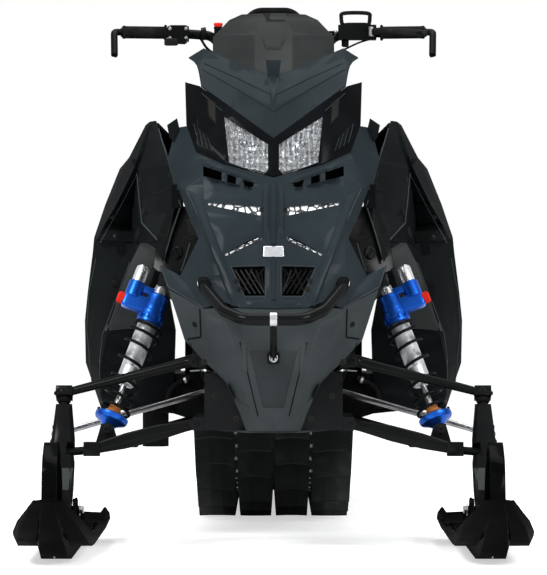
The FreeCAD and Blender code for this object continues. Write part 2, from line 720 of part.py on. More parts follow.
def make_engine():
    """Engine as one plain block at its real place and size."""
    low = Vector(-ENGINE_HALF_WIDTH, BULKHEAD_REAR_Y + SEAT_GAP, ENGINE_LOW_Z)
    high = Vector(ENGINE_HALF_WIDTH, TUNNEL_FRONT_Y - SEAT_GAP, ENGINE_TOP_Z)
    return block(low, high)


def tunnel_top(y):
    """Height of the tunnel's top sheet at this length."""
    share = (y - TUNNEL_FRONT_Y) / (TUNNEL_REAR_Y - TUNNEL_FRONT_Y)
    return TUNNEL_FRONT_Z + (TUNNEL_REAR_Z - TUNNEL_FRONT_Z) * share


def make_tunnel():
    """Folded tunnel sheet over the track, closed at the front, with rack holes."""
    low = BOARD_Z
    outer = [(TUNNEL_FRONT_Y, low), (TUNNEL_REAR_Y, low + 26), (TUNNEL_REAR_Y, TUNNEL_REAR_Z)]
    outer += [(TUNNEL_FRONT_Y, TUNNEL_FRONT_Z)]
    wall = TUNNEL_WALL
    rear = TUNNEL_REAR_Y + 10
    inner = [(TUNNEL_FRONT_Y + wall, low - 20), (rear, low - 20), (rear, tunnel_top(rear) - wall)]
    inner += [(TUNNEL_FRONT_Y + wall, tunnel_top(TUNNEL_FRONT_Y + wall) - wall)]
    half = TUNNEL_HALF_WIDTH
    sheet = prism_x(outer, -half, half).cut(prism_x(inner, -half + wall, half - wall))
    bosses = []
    holes = []
    rack_z = tunnel_top(RACK_CENTRE_Y - RACK_SPACING_Y / 2) + RACK_BOSS_HEIGHT
    for sx in (-1, 1):
        for sy in (-1, 1):
            y = RACK_CENTRE_Y + sy * RACK_SPACING_Y / 2
            top = Vector(sx * RACK_SPACING_X / 2, y, rack_z)
            foot = Vector(top.x, y, tunnel_top(y) - wall / 2)
            bosses.append(rod(foot, top, RACK_BOSS_RADIUS))
            holes.append(boss(top, ALONG_Z, RACK_HOLE_RADIUS, 80))
    for side in (-1, 1):
        centre = Vector(side * half, DRIVE_Y, DRIVE_Z)
        holes.append(boss(centre, ALONG_X, DRIVE_SHAFT_RADIUS + RUNNING_FIT, 20))
    return joined([sheet] + bosses).cut(holes)


def make_running_board():
    """Left running board: slotted sheet, upright flange and round edge rail."""
    inner = TUNNEL_HALF_WIDTH
    outer = BOARD_HALF_WIDTH - BOARD_EDGE_RADIUS
    top = BOARD_Z
    outline = [(inner, BOARD_FRONT_Y), (outer - 30, BOARD_FRONT_Y), (outer, BOARD_FRONT_Y + 90)]
    outline += [(outer, BOARD_REAR_Y - 70), (inner + 60, BOARD_REAR_Y), (inner, BOARD_REAR_Y)]
    sheet = prism_z(outline, top - BOARD_WALL, top)
    pitch = (BOARD_REAR_Y - BOARD_FRONT_Y - 260) / (BOARD_SLOTS - 1)
    middle = (inner + outer) / 2
    slots = []
    for i in range(BOARD_SLOTS):
        y = BOARD_FRONT_Y + 130 + i * pitch
        a = BOARD_SLOT_WIDTH / 2
        b = BOARD_SLOT_LENGTH / 2
        shape = [(middle - a + 14, y - b), (middle + a - 14, y - b), (middle + a, y)]
        shape += [(middle + a - 14, y + b), (middle - a + 14, y + b), (middle - a, y)]
        slots.append(prism_z(shape, top - 10, top + 10))
    rail_x = BOARD_HALF_WIDTH - BOARD_EDGE_RADIUS
    rail_z = top + 4
    route = [
        Vector(rail_x - 30, BOARD_FRONT_Y + 2, rail_z),
        Vector(rail_x, BOARD_FRONT_Y + 96, rail_z),
        Vector(rail_x, BOARD_REAR_Y - 74, rail_z),
        Vector(inner + 40, BOARD_REAR_Y - 8, rail_z),
    ]
    return joined([sheet.cut(slots), bent_tube(route, BOARD_EDGE_RADIUS, 60)])


# Track and skid frame

def tangent_turn(centre_a, radius_a, centre_b, radius_b):
    """Outward normal angle of the belt run that goes from one wheel to the next."""
    gap = centre_b - centre_a
    base = math.atan2(gap.z, gap.y)
    return base - math.acos((radius_a - radius_b) / gap.Length)


def belt_wheels():
    """Wheels and bends that the inside of the belt runs round, in driving order."""
    bend = 420.0
    slope = math.atan2(APPROACH_Z - TRACK_INNER_Z, CONTACT_START_Y - APPROACH_Y)
    contact_y = CONTACT_START_Y - bend * math.tan(slope / 2)
    return [
        (Vector(0, DRIVE_Y, DRIVE_Z), DRIVE_RADIUS),
        (Vector(0, APPROACH_Y + 60, APPROACH_Z + 288), 300.0),
        (Vector(0, contact_y + 40, TRACK_INNER_Z + bend), bend),
        (Vector(0, IDLER_Y, TRACK_INNER_Z + IDLER_RADIUS), IDLER_RADIUS),
    ]


def belt_runs():
    """Arcs and straight runs of the belt: each a start, a length and a curve."""
    wheels = belt_wheels()
    count = len(wheels)
    angles = []
    for i in range(count):
        centre, radius = wheels[i]
        following, next_radius = wheels[(i + 1) % count]
        angles.append(tangent_turn(centre, radius, following, next_radius))
    runs = []
    for i in range(count):
        centre, radius = wheels[i]
        arrive = angles[i - 1]
        leave = angles[i]
        while leave < arrive:
            leave += 2 * math.pi
        runs.append(("arc", centre, radius, arrive, leave))
        following, next_radius = wheels[(i + 1) % count]
        start = centre + Vector(0, math.cos(leave), math.sin(leave)) * radius
        end = following + Vector(0, math.cos(leave), math.sin(leave)) * next_radius
        runs.append(("line", start, end, leave, leave))
    return runs


def run_length(run):
    """Length of one run of the belt."""
    if run[0] == "arc":
        return run[2] * (run[4] - run[3])
    return (run[2] - run[1]).Length


def belt_place(distance):
    """Point on the inside of the belt and its outward normal, this far along."""
    left = distance
    for run in belt_runs():
        length = run_length(run)
        if left <= length:
            if run[0] == "arc":
                angle = run[3] + left / run[2]
                normal = Vector(0, math.cos(angle), math.sin(angle))
                return run[1] + normal * run[2], normal
            normal = Vector(0, math.cos(run[3]), math.sin(run[3]))
            return run[1] + (run[2] - run[1]) * (left / length), normal
        left -= length
    return belt_place(0)


def make_lug(point, normal, x0, x1):
    """One cupped paddle: leaning side ribs and a hollow face between them."""
    forward = ALONG_X.cross(normal)
    base = point + normal * (TRACK_BELT - 1)
    tip = point + normal * (TRACK_BELT + LUG_HEIGHT)
    middle = (x0 + x1) / 2
    sections = []
    for centre, thick, inset in ((base, LUG_BASE, 0.0), (tip, LUG_TIP, 5.0)):
        near = forward * (-thick / 2)
        far = forward * (thick / 2)
        cup = forward * (LUG_CUP * 0.5)
        outline = [
            centre + ALONG_X * (x0 + inset) + near + cup,
            centre + ALONG_X * (middle - 14) + near - cup,
            centre + ALONG_X * (middle + 14) + near - cup,
            centre + ALONG_X * (x1 - inset) + near + cup,
            centre + ALONG_X * (x1 - inset) + far + cup,
            centre + ALONG_X * (middle + 14) + far - cup,
            centre + ALONG_X * (middle - 14) + far - cup,
            centre + ALONG_X * (x0 + inset) + far + cup,
        ]
        sections.append(outline)
    return section_loft(sections)


def lug_columns():
    """Left and right end of each of the four lug columns."""
    gap = (TRACK_WIDTH - 2 * OUTER_LUG_WIDTH - 2 * INNER_LUG_WIDTH) / 3
    columns = []
    x = -TRACK_WIDTH / 2
    for width in (OUTER_LUG_WIDTH, INNER_LUG_WIDTH, INNER_LUG_WIDTH, OUTER_LUG_WIDTH):
        columns.append((x, x + width))
        x += width + gap
    return columns


def make_track():
    """Endless rubber track: belt loop with staggered paddles."""
    total = sum(run_length(run) for run in belt_runs())
    pitch = total / LUG_ROWS
    inner = []
    outer = []
    for i in range(LUG_ROWS):
        for share in (-0.33, 0, 0.33):
            point, normal = belt_place(((i + 0.5 + share) * pitch) % total)
            inner.append(point)
            outer.append(point + normal * TRACK_BELT)
    half = TRACK_WIDTH / 2
    loops = []
    for points in (outer, inner):
        loops.append(polygon([p + ALONG_X * -half for p in points]).extrude(ALONG_X * TRACK_WIDTH))
    belt = loops[0].cut(loops[1])
    lugs = []
    columns = lug_columns()
    for i in range(LUG_ROWS):
        point, normal = belt_place((i + 0.5) * pitch)
        for column in (0, 2) if i % 2 else (1, 3):
            lugs.append(make_lug(point, normal, *columns[column]))
    return belt.fuse(lugs)


def make_slide_rails():
    """Two rails with curved-up fronts, joined by cross shafts at arms and wheels."""
    low = TRACK_INNER_Z + SEAT_GAP
    gap = 6.0
    bottom = []
    total = sum(run_length(run) for run in belt_runs())
    steps = 400
    for i in range(steps):
        point, normal = belt_place(total * i / steps)
        inside = point - normal * gap
        if normal.z < -0.85 and RAIL_FRONT_Y < inside.y < CONTACT_START_Y - 20:
            bottom.append((inside.y, inside.z))
    bottom = bottom[::6]
    bottom.append((CONTACT_START_Y, low))
    bottom.append((IDLER_Y - 34, low))
    top = [(IDLER_Y - 34, low + RAIL_HEIGHT)]
    top += [(CONTACT_START_Y - 20, low + RAIL_HEIGHT)]
    front_y, front_z = bottom[0]
    top += [(front_y + 120, front_z + 26), (front_y - 4, front_z + 26)]
    pieces = []
    for side in (-1, 1):
        x0 = side * RAIL_X - RAIL_THICK / 2
        pieces.append(prism_x(bottom + top, x0, x0 + RAIL_THICK))
    shafts = [(FRONT_ARM_FOOT_Y, low + 80), (REAR_ARM_FOOT_Y, low + 46)]
    for y, z in shafts:
        pieces.append(boss(Vector(0, y, z), ALONG_X, 11, 2 * RAIL_X + 10))
    for y in BOGIE_YS:
        pieces.append(boss(Vector(0, y, low + BOGIE_RADIUS), ALONG_X, 10, 2 * RAIL_X + 80))
        for side in (-1, 1):
            x0 = side * RAIL_X - RAIL_THICK / 2
            bracket = [(y - 40, low + 40), (y + 40, low + 40), (y + 14, low + 84), (y - 14, low + 84)]
            pieces.append(prism_x(bracket, x0, x0 + RAIL_THICK))
    idler = Vector(0, IDLER_Y, TRACK_INNER_Z + IDLER_RADIUS)
    pieces.append(boss(idler, ALONG_X, 10, 2 * RAIL_X + 110))
    for side in (-1, 1):
        x0 = side * RAIL_X - RAIL_THICK / 2
        bracket = [(IDLER_Y - 90, low + 40), (IDLER_Y + 4, low + 50)]
        bracket += [(IDLER_Y + 16, idler.z + 16), (IDLER_Y - 16, idler.z + 16)]
        pieces.append(prism_x(bracket, x0, x0 + RAIL_THICK))
    for side in (-1, 1):
        foot = Vector(side * RAIL_X, FRONT_ARM_FOOT_Y, low + 80)
        pieces.append(block(foot - Vector(7, 26, 42), foot + Vector(7, 26, 14)))
    return joined(pieces)


def make_wheel(centre, radius, width, bore):
    """Dished wheel with a rubber tread, a web with windows and a hub."""
    tread = boss(centre, ALONG_X, radius, width)
    hollow = boss(centre, ALONG_X, radius - 12, width + 2)
    web = boss(centre, ALONG_X, radius - 10, width * 0.3)
    windows = []
    for i in range(6):
        angle = math.pi * i / 3
        spot = centre + Vector(0, math.cos(angle), math.sin(angle)) * (radius * 0.55)
        windows.append(boss(spot, ALONG_X, radius * 0.16, width))
    hub = boss(centre, ALONG_X, radius * 0.26, width)
    wheel = joined([tread.cut(hollow), web.cut(windows), hub])
    return wheel.cut(boss(centre, ALONG_X, bore + RUNNING_FIT, width + 10))


def make_bogie_wheels():
    """Pairs of bogie wheels outside the rails, and the pair that carries the upper run."""
    wheels = []
    z = TRACK_INNER_Z + SEAT_GAP + BOGIE_RADIUS
    x = RAIL_X + RAIL_THICK / 2 + SEAT_GAP + BOGIE_WIDTH / 2
    for y in BOGIE_YS:
        for side in (-1, 1):
            wheels.append(make_wheel(Vector(side * x, y, z), BOGIE_RADIUS, BOGIE_WIDTH, 10))
    return Part.makeCompound(wheels)


def make_idler_wheels():
    """Large rear wheels that the belt turns round."""
    wheels = []
    radius = IDLER_RADIUS - BELT_CLEARANCE
    for x in (RAIL_X - 27.5, RAIL_X + 27.5):
        for side in (-1, 1):
            centre = Vector(side * x, IDLER_Y, TRACK_INNER_Z + IDLER_RADIUS)
            wheels.append(make_wheel(centre, radius, 26, 10))
    return Part.makeCompound(wheels)


def make_drive_axle():
    """Drive axle across the tunnel with its toothed drivers."""
    centre = Vector(0, DRIVE_Y, DRIVE_Z)
    pieces = [boss(centre, ALONG_X, DRIVE_SHAFT_RADIUS, 2 * TUNNEL_HALF_WIDTH + 20)]
    teeth = 8
    root = DRIVE_RADIUS - 16
    tip = DRIVE_RADIUS - BELT_CLEARANCE
    for x in (-120, -44, 44, 120):
        outline = []
        for i in range(teeth):
            for share, radius in ((-0.36, root), (-0.2, tip), (0.2, tip), (0.36, root)):
                angle = 2 * math.pi * (i + share) / teeth
                outline.append((DRIVE_Y + radius * math.cos(angle), DRIVE_Z + radius * math.sin(angle)))
        pieces.append(prism_x(outline, x - 12, x + 12))
    for side in (-1, 1):
        nut = Vector(side * (TUNNEL_HALF_WIDTH + 7), DRIVE_Y, DRIVE_Z)
        pieces.append(boss(nut, ALONG_X, DRIVE_Z - BOARD_Z - 1, 14 - 2 * SEAT_GAP))
    return joined(pieces)


def make_front_torque_arm():
    """Front swing arm from the tunnel sides down to the rails."""
    top_z = tunnel_top(FRONT_ARM_Y) - 160
    foot_z = TRACK_INNER_Z + SEAT_GAP + 80
    return torque_arm(FRONT_ARM_Y, top_z, FRONT_ARM_FOOT_Y, foot_z, 60.0)


def make_rear_torque_arm():
    """Rear swing arm from the tunnel sides down to the rails."""
    top_z = tunnel_top(REAR_ARM_Y) - 205
    foot_z = TRACK_INNER_Z + SEAT_GAP + 46
    return torque_arm(REAR_ARM_Y, top_z, REAR_ARM_FOOT_Y, foot_z, 60.0)


def torque_arm(top_y, top_z, foot_y, foot_z, half_width):
    """Cross tube between the tunnel sides and two legs that hold the foot shaft."""
    across = 2 * (TUNNEL_HALF_WIDTH - TUNNEL_WALL - SEAT_GAP)
    pieces = [boss(Vector(0, top_y, top_z), ALONG_X, ARM_TUBE_RADIUS, across)]
    for side in (-1, 1):
        top = Vector(side * half_width, top_y, top_z)
        foot = Vector(side * half_width, foot_y, foot_z)
        pieces.append(rod(top, foot, ARM_TUBE_RADIUS - 2))
        pieces.append(boss(foot, ALONG_X, 18, 30))
    arm = joined(pieces)
    return arm.cut(boss(Vector(0, foot_y, foot_z), ALONG_X, 11 + RUNNING_FIT, 2 * RAIL_X))


def make_skid_shocks():
    """Two shocks of the skid frame, each from a cross tube down to the rails."""
    shocks = []
    for top_y, drop, foot_y, foot_rise in (
        (FRONT_ARM_Y, 160, FRONT_ARM_FOOT_Y, 80),
        (REAR_ARM_Y, 205, REAR_ARM_FOOT_Y, 46),
    ):
        top = Vector(0, top_y, tunnel_top(top_y) - drop)
        foot = Vector(0, foot_y, TRACK_INNER_Z + SEAT_GAP + foot_rise)
        along = (foot - top).normalize()
        gap = (foot - top).Length
        lower = foot - along * (11 + SEAT_GAP)
        upper = top + along * (ARM_TUBE_RADIUS + SEAT_GAP)
        pieces = [rod(upper, lower, 7), rod(upper + along * 6, upper + along * (0.55 * gap), 22)]
        pieces.append(rod(lower - along * 26, lower - along * 14, 30))
        shocks.append(joined(pieces))
    return Part.makeCompound(shocks)


# Body panels

def points(*triples):
    """List of vectors from triples of numbers."""
    return [Vector(*triple) for triple in triples]


def make_hood():
    """Hood: creased wedge from the nose lip up to the lamps, open at the side intakes."""
    lip_y = HOOD_LIP_Y
    lip_z = HOOD_LIP_Z
    net = [
        points((0, lip_y, lip_z), (72, lip_y + 9, lip_z + 2), (110, lip_y + 16, lip_z + 16),
               (147, lip_y + 30, lip_z), (228, -60, 574)),
        points((0, -126, 600), (104, -110, 604), (155, -85, 603), (199, -45, 600), (245, -28, 622)),
        points((0, -96, 680), (140, -72, 680), (150, -66, 680), (159, -58, 680), (243, 0, 650)),
        points((0, -77, 730), (163, -50, 735), (172, -38, 733), (181, -20, 730), (204, 30, 748)),
        points((0, -54, 790), (188, -22, 791), (197, 2, 790), (203, 24, 788), (210, 48, 787)),
        points((0, -45, 812), (105, -22, 840), (165, 10, 868), (197, 48, 862), (229, 82, 856)),
        points((0, -20, 880), (105, 20, 950), (186, 62, 927), (199, 88, 926), (212, 112, 924)),
    ]
    intake = ((1, 3), (2, 3), (3, 3))
    lamps = ((5, 0), (5, 1))
    half = skin(net, PANEL_WALL, intake + lamps)
    hood = joined([half, mirrored(half)])
    cuts = [bumper_tube(BUMPER_RADIUS + BUMPER_ROOM)]
    for outline in HOOD_WINDOWS:
        window = prism_y(outline, -240, 40)
        cuts += [window, mirrored(window)]
    return hood.cut(cuts)


def make_nose_pan(hood):
    """Nose and belly pan under the hood."""
    lip_y = HOOD_LIP_Y + 0.5
    lip_z = HOOD_LIP_Z - 0.5
    back_y = BULKHEAD_FRONT_Y - SEAT_GAP
    main = [
        points((0, lip_y, lip_z), (72, lip_y + 9, lip_z + 2), (147, lip_y + 30, lip_z),
               (226, -57, 571), (212, back_y, 562)),
        points((0, -138, 452), (62, -128, 456), (125, -90, 456), (192, -24, 462), (178, back_y, 458)),
        points((0, -116, 400), (60, -106, 400), (100, -76, 405), (148, -34, 415), (138, back_y, 408)),
        points((0, -94, 350), (55, -84, 350), (80, -66, 356), (102, -44, 372), (98, back_y, 362)),
        points((0, -70, 300), (46, -60, 300), (60, -52, 302), (72, -42, 305), (72, back_y, 300)),
        points((0, -52, 266), (38, -46, 266), (48, -42, 266), (57, -38, 266), (60, back_y, 264)),
    ]
    half = skin(main)
    floor_outline = [(57, -38), (104, 70), (140, 160), (140, 640), (-140, 640), (-140, 160), (-104, 70), (-57, -38)]
    floor = prism_z(floor_outline, BELLY_Z, BELLY_Z + BELLY_WALL)
    return largest(joined([half, mirrored(half), floor]).cut(hood))


def make_lamp_housing():
    """Surround of the two headlamps between hood and brow."""
    net = lamp_net()
    half = skin(net, 6.0)
    half = half.cut(lens_prism(0.0))
    return joined([half, mirrored(half)])


def lamp_net():
    """Character lines of the headlamp surround."""
    return [
        points((0, -44.7, 812.8), (105, -21.7, 840.8), (164.6, 10.4, 868.8), (185.4, 62.4, 928)),
        points((0, -10, 896), (86, 30, 960), (158, 76, 1013), (190, 150, 1026)),
    ]


def lens_prism(inset):
    """Space of the left headlamp lens, cut straight back."""
    corners = [(107 - inset, 946 - 2 * inset), (12 + inset, 885 - inset), (12 + inset, 830 + inset)]
    corners += [(23, 817 + 2 * inset), (96 - inset, 846 + inset)]
    return prism_y(corners, -120, 140)


def make_headlamps():
    """Clear lenses set back in the surround, one each side."""
    behind = [[p + Vector(0, 4, -1) for p in line] for line in lamp_net()]
    lens = skin(behind, 6.0).common(lens_prism(SEAT_GAP))
    return Part.makeCompound([lens, mirrored(lens)])


def make_brow():
    """Chevron brow over the headlamps with its two swept wing tips."""
    net = [
        points((0, -10, 896.6), (86, 30, 960.6), (158, 76, 1013.6), (164, 112, 1048)),
        points((0, 22, 963), (85, 72, 1012), (160, 128, 1057), (169, 142, 1064)),
        points((0, 46, 992), (82, 96, 1032), (158, 148, 1069), (176, 166, 1074)),
        points((0, 112, 1033), (77, 152, 1068), (154, 198, 1103), (187, 206, 1083)),
    ]
    half = skin(net)
    return joined([half, mirrored(half)])


def pod_section(z, half_width, front_y, rear_y):
    """Level section of the gauge pod."""
    w = half_width
    depth = rear_y - front_y
    half = [(0.3 * w, front_y), (w, front_y + 0.35 * depth), (w, rear_y - 0.2 * depth), (0.7 * w, rear_y)]
    outline = half + [(-x, y) for x, y in reversed(half)]
    return [Vector(x, y, z) for x, y in outline]


def make_gauge_pod():
    """Gauge pod behind the brow, with the display recess facing the rider."""
    body = section_loft([
        pod_section(CONSOLE_TOP_Z + SEAT_GAP, 118, 104, 500),
        pod_section(CONSOLE_TOP_Z + 38, 130, 124, 510),
        pod_section(CONSOLE_TOP_Z + 78, 137, 196, 506),
        pod_section(CONSOLE_TOP_Z + 138, 136, 268, 486),
        pod_section(CONSOLE_TOP_Z + 178, 100, 322, 462),
        pod_section(CONSOLE_TOP_Z + 191, 72, 344, 440),
    ])
    recess = block(Vector(-78, 472, CONSOLE_TOP_Z + 48), Vector(78, 560, CONSOLE_TOP_Z + 126))
    return body.cut(recess)


def make_side_panel():
    """Left upper side panel: front facet, flared wing with the air trough inside it, and flank."""
    net = [
        points((256, 158, 926), (262, 196, 945), (275, 222, 944), (285, 255, 938), (262, 420, 950),
               (214, 640, 905)),
        points((229.3, 82.4, 856.3), (298, 220, 842), (312, 240, 838), (336, 330, 846), (350, 440, 846),
               (300, 700, 800)),
        points((210.3, 48.4, 787.3), (301, 216, 772), (352, 300, 762), (372, 396, 764), (384, 460, 764),
               (340, 720, 740)),
        points((203, 32, 752), (294, 204, 720), (380, 346, 718), (391, 420, 724), (398, 470, 724),
               (358, 732, 708)),
        points((242, -2, 634), (250, 60, 672), (399, 380, 684), (407, 440, 690), (410, 480, 690),
               (375, 740, 680)),
    ]
    for line, depth in zip(net, (0, 16, 90, 120, 110)):
        line.insert(2, (line[1] + line[2]) * 0.5 + Vector(-depth * 0.1, depth, 0))
    return skin(net, PANEL_WALL)


def make_lower_panel(side_panel):
    """Left lower side panel with the inner wall that it turns back to."""
    net = [
        points((256, 150, 712), (304, 262, 712), (407, 440, 700), (410, 480, 700), (375, 740, 700)),
        points((250, 210, 668), (318, 334, 674), (407, 440, 689.2), (410, 480, 689.2), (375, 740, 679.2)),
        points((236, 390, 560), (352, 350, 560), (424, 470, 566), (424, 540, 566), (392, 780, 560)),
        points((221, 400, 480), (376, 360, 476), (432, 500, 500), (432, 560, 500), (396, 800, 480)),
        points((223, 400, 410), (390, 370, 400), (430, 500, 404), (430, 560, 404), (396, 800, 400)),
        points((228, 400, 302), (388, 372, 302), (394, 480, 300), (394, 560, 300), (388, 700, 362)),
    ]
    panel = skin(net, PANEL_WALL, ((0, 1), (0, 2), (0, 3)))
    return largest(panel.cut(side_panel))


def make_footwell(bulkhead, nose_pan, lower_panel):
    """Left footwell front and floor, from the belly out to the running board."""
    rear_y = BOARD_FRONT_Y - SEAT_GAP
    board_low = BOARD_Z - BOARD_WALL
    net = [
        points((150.3, 406, 381), (226, 406, 381), (382, 406, 381)),
        points((140.3, 406, 262.2), (226, 406, 290), (382, 406, 306)),
        points((140.3, rear_y, 262.2), (226, rear_y, board_low - 14), (382, rear_y, board_low - 1)),
    ]
    return largest(skin(net).cut([bulkhead, nose_pan, lower_panel]))


def make_intake(hood, side_panel):
    """Left side intake: dark tray behind the opening, cut to meet hood and side panel."""
    tray = skin([
        points((170, 14, 742), (222, 74, 764)),
        points((148, -22, 680), (252, 42, 690)),
        points((190, -12, 586), (262, 18, 616)),
    ], 12.0)
    return largest(tray.cut([hood, side_panel]))


def console_section(y, half_top, half_low, top_z, low_z):
    """Upright section of the console and tank cover."""
    mid_z = top_z - 0.35 * (top_z - low_z)
    half = [(half_low, low_z), (half_low + 8, mid_z), (half_top, top_z - 26), (half_top * 0.45, top_z)]
    outline = half + [(-x, z) for x, z in reversed(half)]
    return [Vector(x, y, z) for x, z in outline]


def make_console():
    """Hollow console and tank cover from the pod back to the seat, open below."""
    rear_low = tunnel_top(CONSOLE_REAR_Y) + SEAT_GAP
    stations = [
        (CONSOLE_FRONT_Y, 120, 150, CONSOLE_TOP_Z, 900),
        (470, 150, 185, CONSOLE_TOP_Z - 2, 820),
        (620, 165, 192, 940, 700),
        (760, 150, 180, 880, 640),
        (900, 130, 168, 862, 610),
        (CONSOLE_REAR_Y, 112, 150, 858, rear_low),
    ]
    body = section_loft([console_section(*station) for station in stations])
    inner = []
    for y, half_top, half_low, top_z, low_z in stations:
        shift = {CONSOLE_FRONT_Y: CONSOLE_WALL, CONSOLE_REAR_Y: -CONSOLE_WALL}.get(y, 0)
        walls = (half_top - CONSOLE_WALL, half_low - CONSOLE_WALL, top_z - CONSOLE_WALL, low_z - 30)
        inner.append(console_section(y + shift, *walls))
    hole = rod(post_point(600), post_point(CONSOLE_TOP_Z + 100), POST_RADIUS + 8)
    return largest(body.cut([section_loft(inner), hole]))


def seat_section(y, half_top, half_low, top_z):
    """Upright section of the seat."""
    low_z = tunnel_top(y) + SEAT_GAP
    mid_z = (top_z + low_z) / 2
    half = [(half_low, low_z), (half_low - 6, mid_z), (half_top, top_z - 30), (half_top * 0.6, top_z)]
    outline = half + [(-x, z) for x, z in reversed(half)]
    return [Vector(x, y, z) for x, z in outline]


def make_seat():
    """Plain solid of the padded seat."""
    return section_loft([
        seat_section(SEAT_FRONT_Y, 104, 146, SEAT_TOP_Z - 14),
        seat_section(SEAT_FRONT_Y + 180, 100, 146, SEAT_TOP_Z),
        seat_section(SEAT_REAR_Y - 260, 112, 146, SEAT_TOP_Z - 36),
        seat_section(SEAT_REAR_Y - 60, 116, 140, SEAT_TOP_Z - 60),
        seat_section(SEAT_REAR_Y, 90, 110, SEAT_TOP_Z - 110),
    ])


def bumper_tube(radius):
    """Front bumper tube, or the room that it needs."""
    half = points((64, -290, 508), (104, -252, 526), (146, -150, 574), (150, -60, 590))
    route = [Vector(-p.x, p.y, p.z) for p in reversed(half)] + half
    return bent_tube(route, radius, 50)


def make_front_bumper():
    """Front bumper tube with its centre strut down to the nose."""
    strut = prism_x([(-302, 512), (-296, 500), (-124.2, 418), (-128.6, 428)], -7.5, 7.5)
    return joined([bumper_tube(BUMPER_RADIUS), strut])


def make_rear_bumper():
    """Rear grab tube from the tunnel sides round behind the flap."""
    x = TUNNEL_HALF_WIDTH + BUMPER_RADIUS + SEAT_GAP
    half = [
        Vector(120, TAIL_Y - BUMPER_RADIUS, 560),
        Vector(x - 20, TAIL_Y - 60, 550),
        Vector(x, TUNNEL_REAR_Y + 80, 500),
        Vector(x, TUNNEL_REAR_Y - 300, 440),
    ]
    route = [Vector(-p.x, p.y, p.z) for p in reversed(half)] + half
    return bent_tube(route, BUMPER_RADIUS, 70)


def make_snow_flap():
    """Rubber flap that hangs from the end of the tunnel."""
    front_y = TUNNEL_REAR_Y - 50
    under = TUNNEL_WALL + SEAT_GAP
    top = [(front_y, tunnel_top(front_y) - under), (TUNNEL_REAR_Y, TUNNEL_REAR_Z - under)]
    top += [(TUNNEL_REAR_Y + 60, TUNNEL_REAR_Z - 26), (TAIL_Y - 60, 270)]
    back = [(y - FLAP_WALL / 2, z - FLAP_WALL) for y, z in reversed(top)]
    return prism_x(top + back, -190, 190)


def make_tail_lamp():
    """Tail lamp on the end of the tunnel."""
    y0 = TUNNEL_REAR_Y - 70
    base = tunnel_top(y0) + 0.1
    profile = [(y0, base), (y0 + 60, tunnel_top(y0 + 60) + 0.1), (y0 + 64, base + 30), (y0 + 20, base + 36)]
    return prism_x(profile, -62, 62)


def make_exhaust(footwell):
    """Exhaust outlet that points down from the floor of the right footwell."""
    top = Vector(EXHAUST_X, EXHAUST_Y, BOARD_Z)
    low = Vector(EXHAUST_X, EXHAUST_Y, EXHAUST_LOW_Z)
    pipe = rod(low, top, EXHAUST_RADIUS).cut(footwell)
    stub = min(pipe.Solids, key=lambda solid: solid.CenterOfMass.z)
    return stub.cut(rod(low, low + ALONG_Z * 60, EXHAUST_RADIUS - 3))


def make_upper_frame():
    """Tube frame that carries the upper bearing of the steering post."""
    top = post_point(BAR_CLAMP_Z - UPPER_BEARING_DROP)
    pieces = [boss(top, STEER_AXIS, POST_RADIUS + 14, 30)]
    front_y = SHOCK_TOP.y + 54
    rear_y = TUNNEL_FRONT_Y + 100
    for side in (-1, 1):
        for x, y, seat_z in (
            (BULKHEAD_HALF_WIDTH - 3, front_y, BULKHEAD_TOP_Z),
            (BULKHEAD_HALF_WIDTH, rear_y, tunnel_top(rear_y - 20)),
        ):
            foot = Vector(side * x, y, seat_z + SEAT_GAP)
            pieces.append(block(foot - Vector(14, 20, 0), foot + Vector(14, 20, 12)))
            pieces.append(rod(foot + Vector(0, 0, 12), top + ALONG_X * side * 20, 11))
    frame = joined(pieces)
    return frame.cut(boss(top, STEER_AXIS, POST_RADIUS + RUNNING_FIT, 80))


# Steering

def make_steering_post():
    """Post from the bar clamp down to the pitman arm."""
    low = post_point(PITMAN_Z)
    top = post_point(BAR_CLAMP_Z) + STEER_AXIS * 4
    shaft = rod(low - STEER_AXIS * 4, top, POST_RADIUS)
    arm_half = PITMAN_PLATE / 2
    tip = STEER_PIN_X + STEER_EYE_RADIUS
    corners = []
    for x, reach in ((-16, -16), (16, -16), (tip, STEER_ARM - 6), (tip - 8, STEER_ARM + 12),
                     (8 - tip, STEER_ARM + 12), (-tip, STEER_ARM - 6)):
        corners.append(low + ALONG_X * x + STEER_REAR * reach - STEER_AXIS * arm_half)
    plate = polygon(corners).extrude(STEER_AXIS * PITMAN_PLATE)
    pins = []
    for side in (-1, 1):
        pins += steering_pin(low + STEER_REAR * STEER_ARM + ALONG_X * side * STEER_PIN_X)
    return joined([shaft, plate] + pins)


def bar_end(x):
    """Point on the straight outer run of the left half of the bar."""
    share = (x - BAR_BEND_X) / (GRIP_OUTER_X - BAR_BEND_X)
    return Vector(x, BAR_CLAMP_Y - BAR_FORWARD - BAR_SWEEP * share, BAR_CLAMP_Z + BAR_RISE)


def at_bar(x, y, z):
    """Point counted from the middle of the bar clamp."""
    return Vector(x, BAR_CLAMP_Y + y, BAR_CLAMP_Z + z)


def bar_route():
    """Bends of the handlebar from the right end to the left end."""
    half = [at_bar(112, 2, -10), at_bar(142, 0, 30), bar_end(BAR_BEND_X), bar_end(GRIP_OUTER_X)]
    return [Vector(-p.x, p.y, p.z) for p in reversed(half)] + half


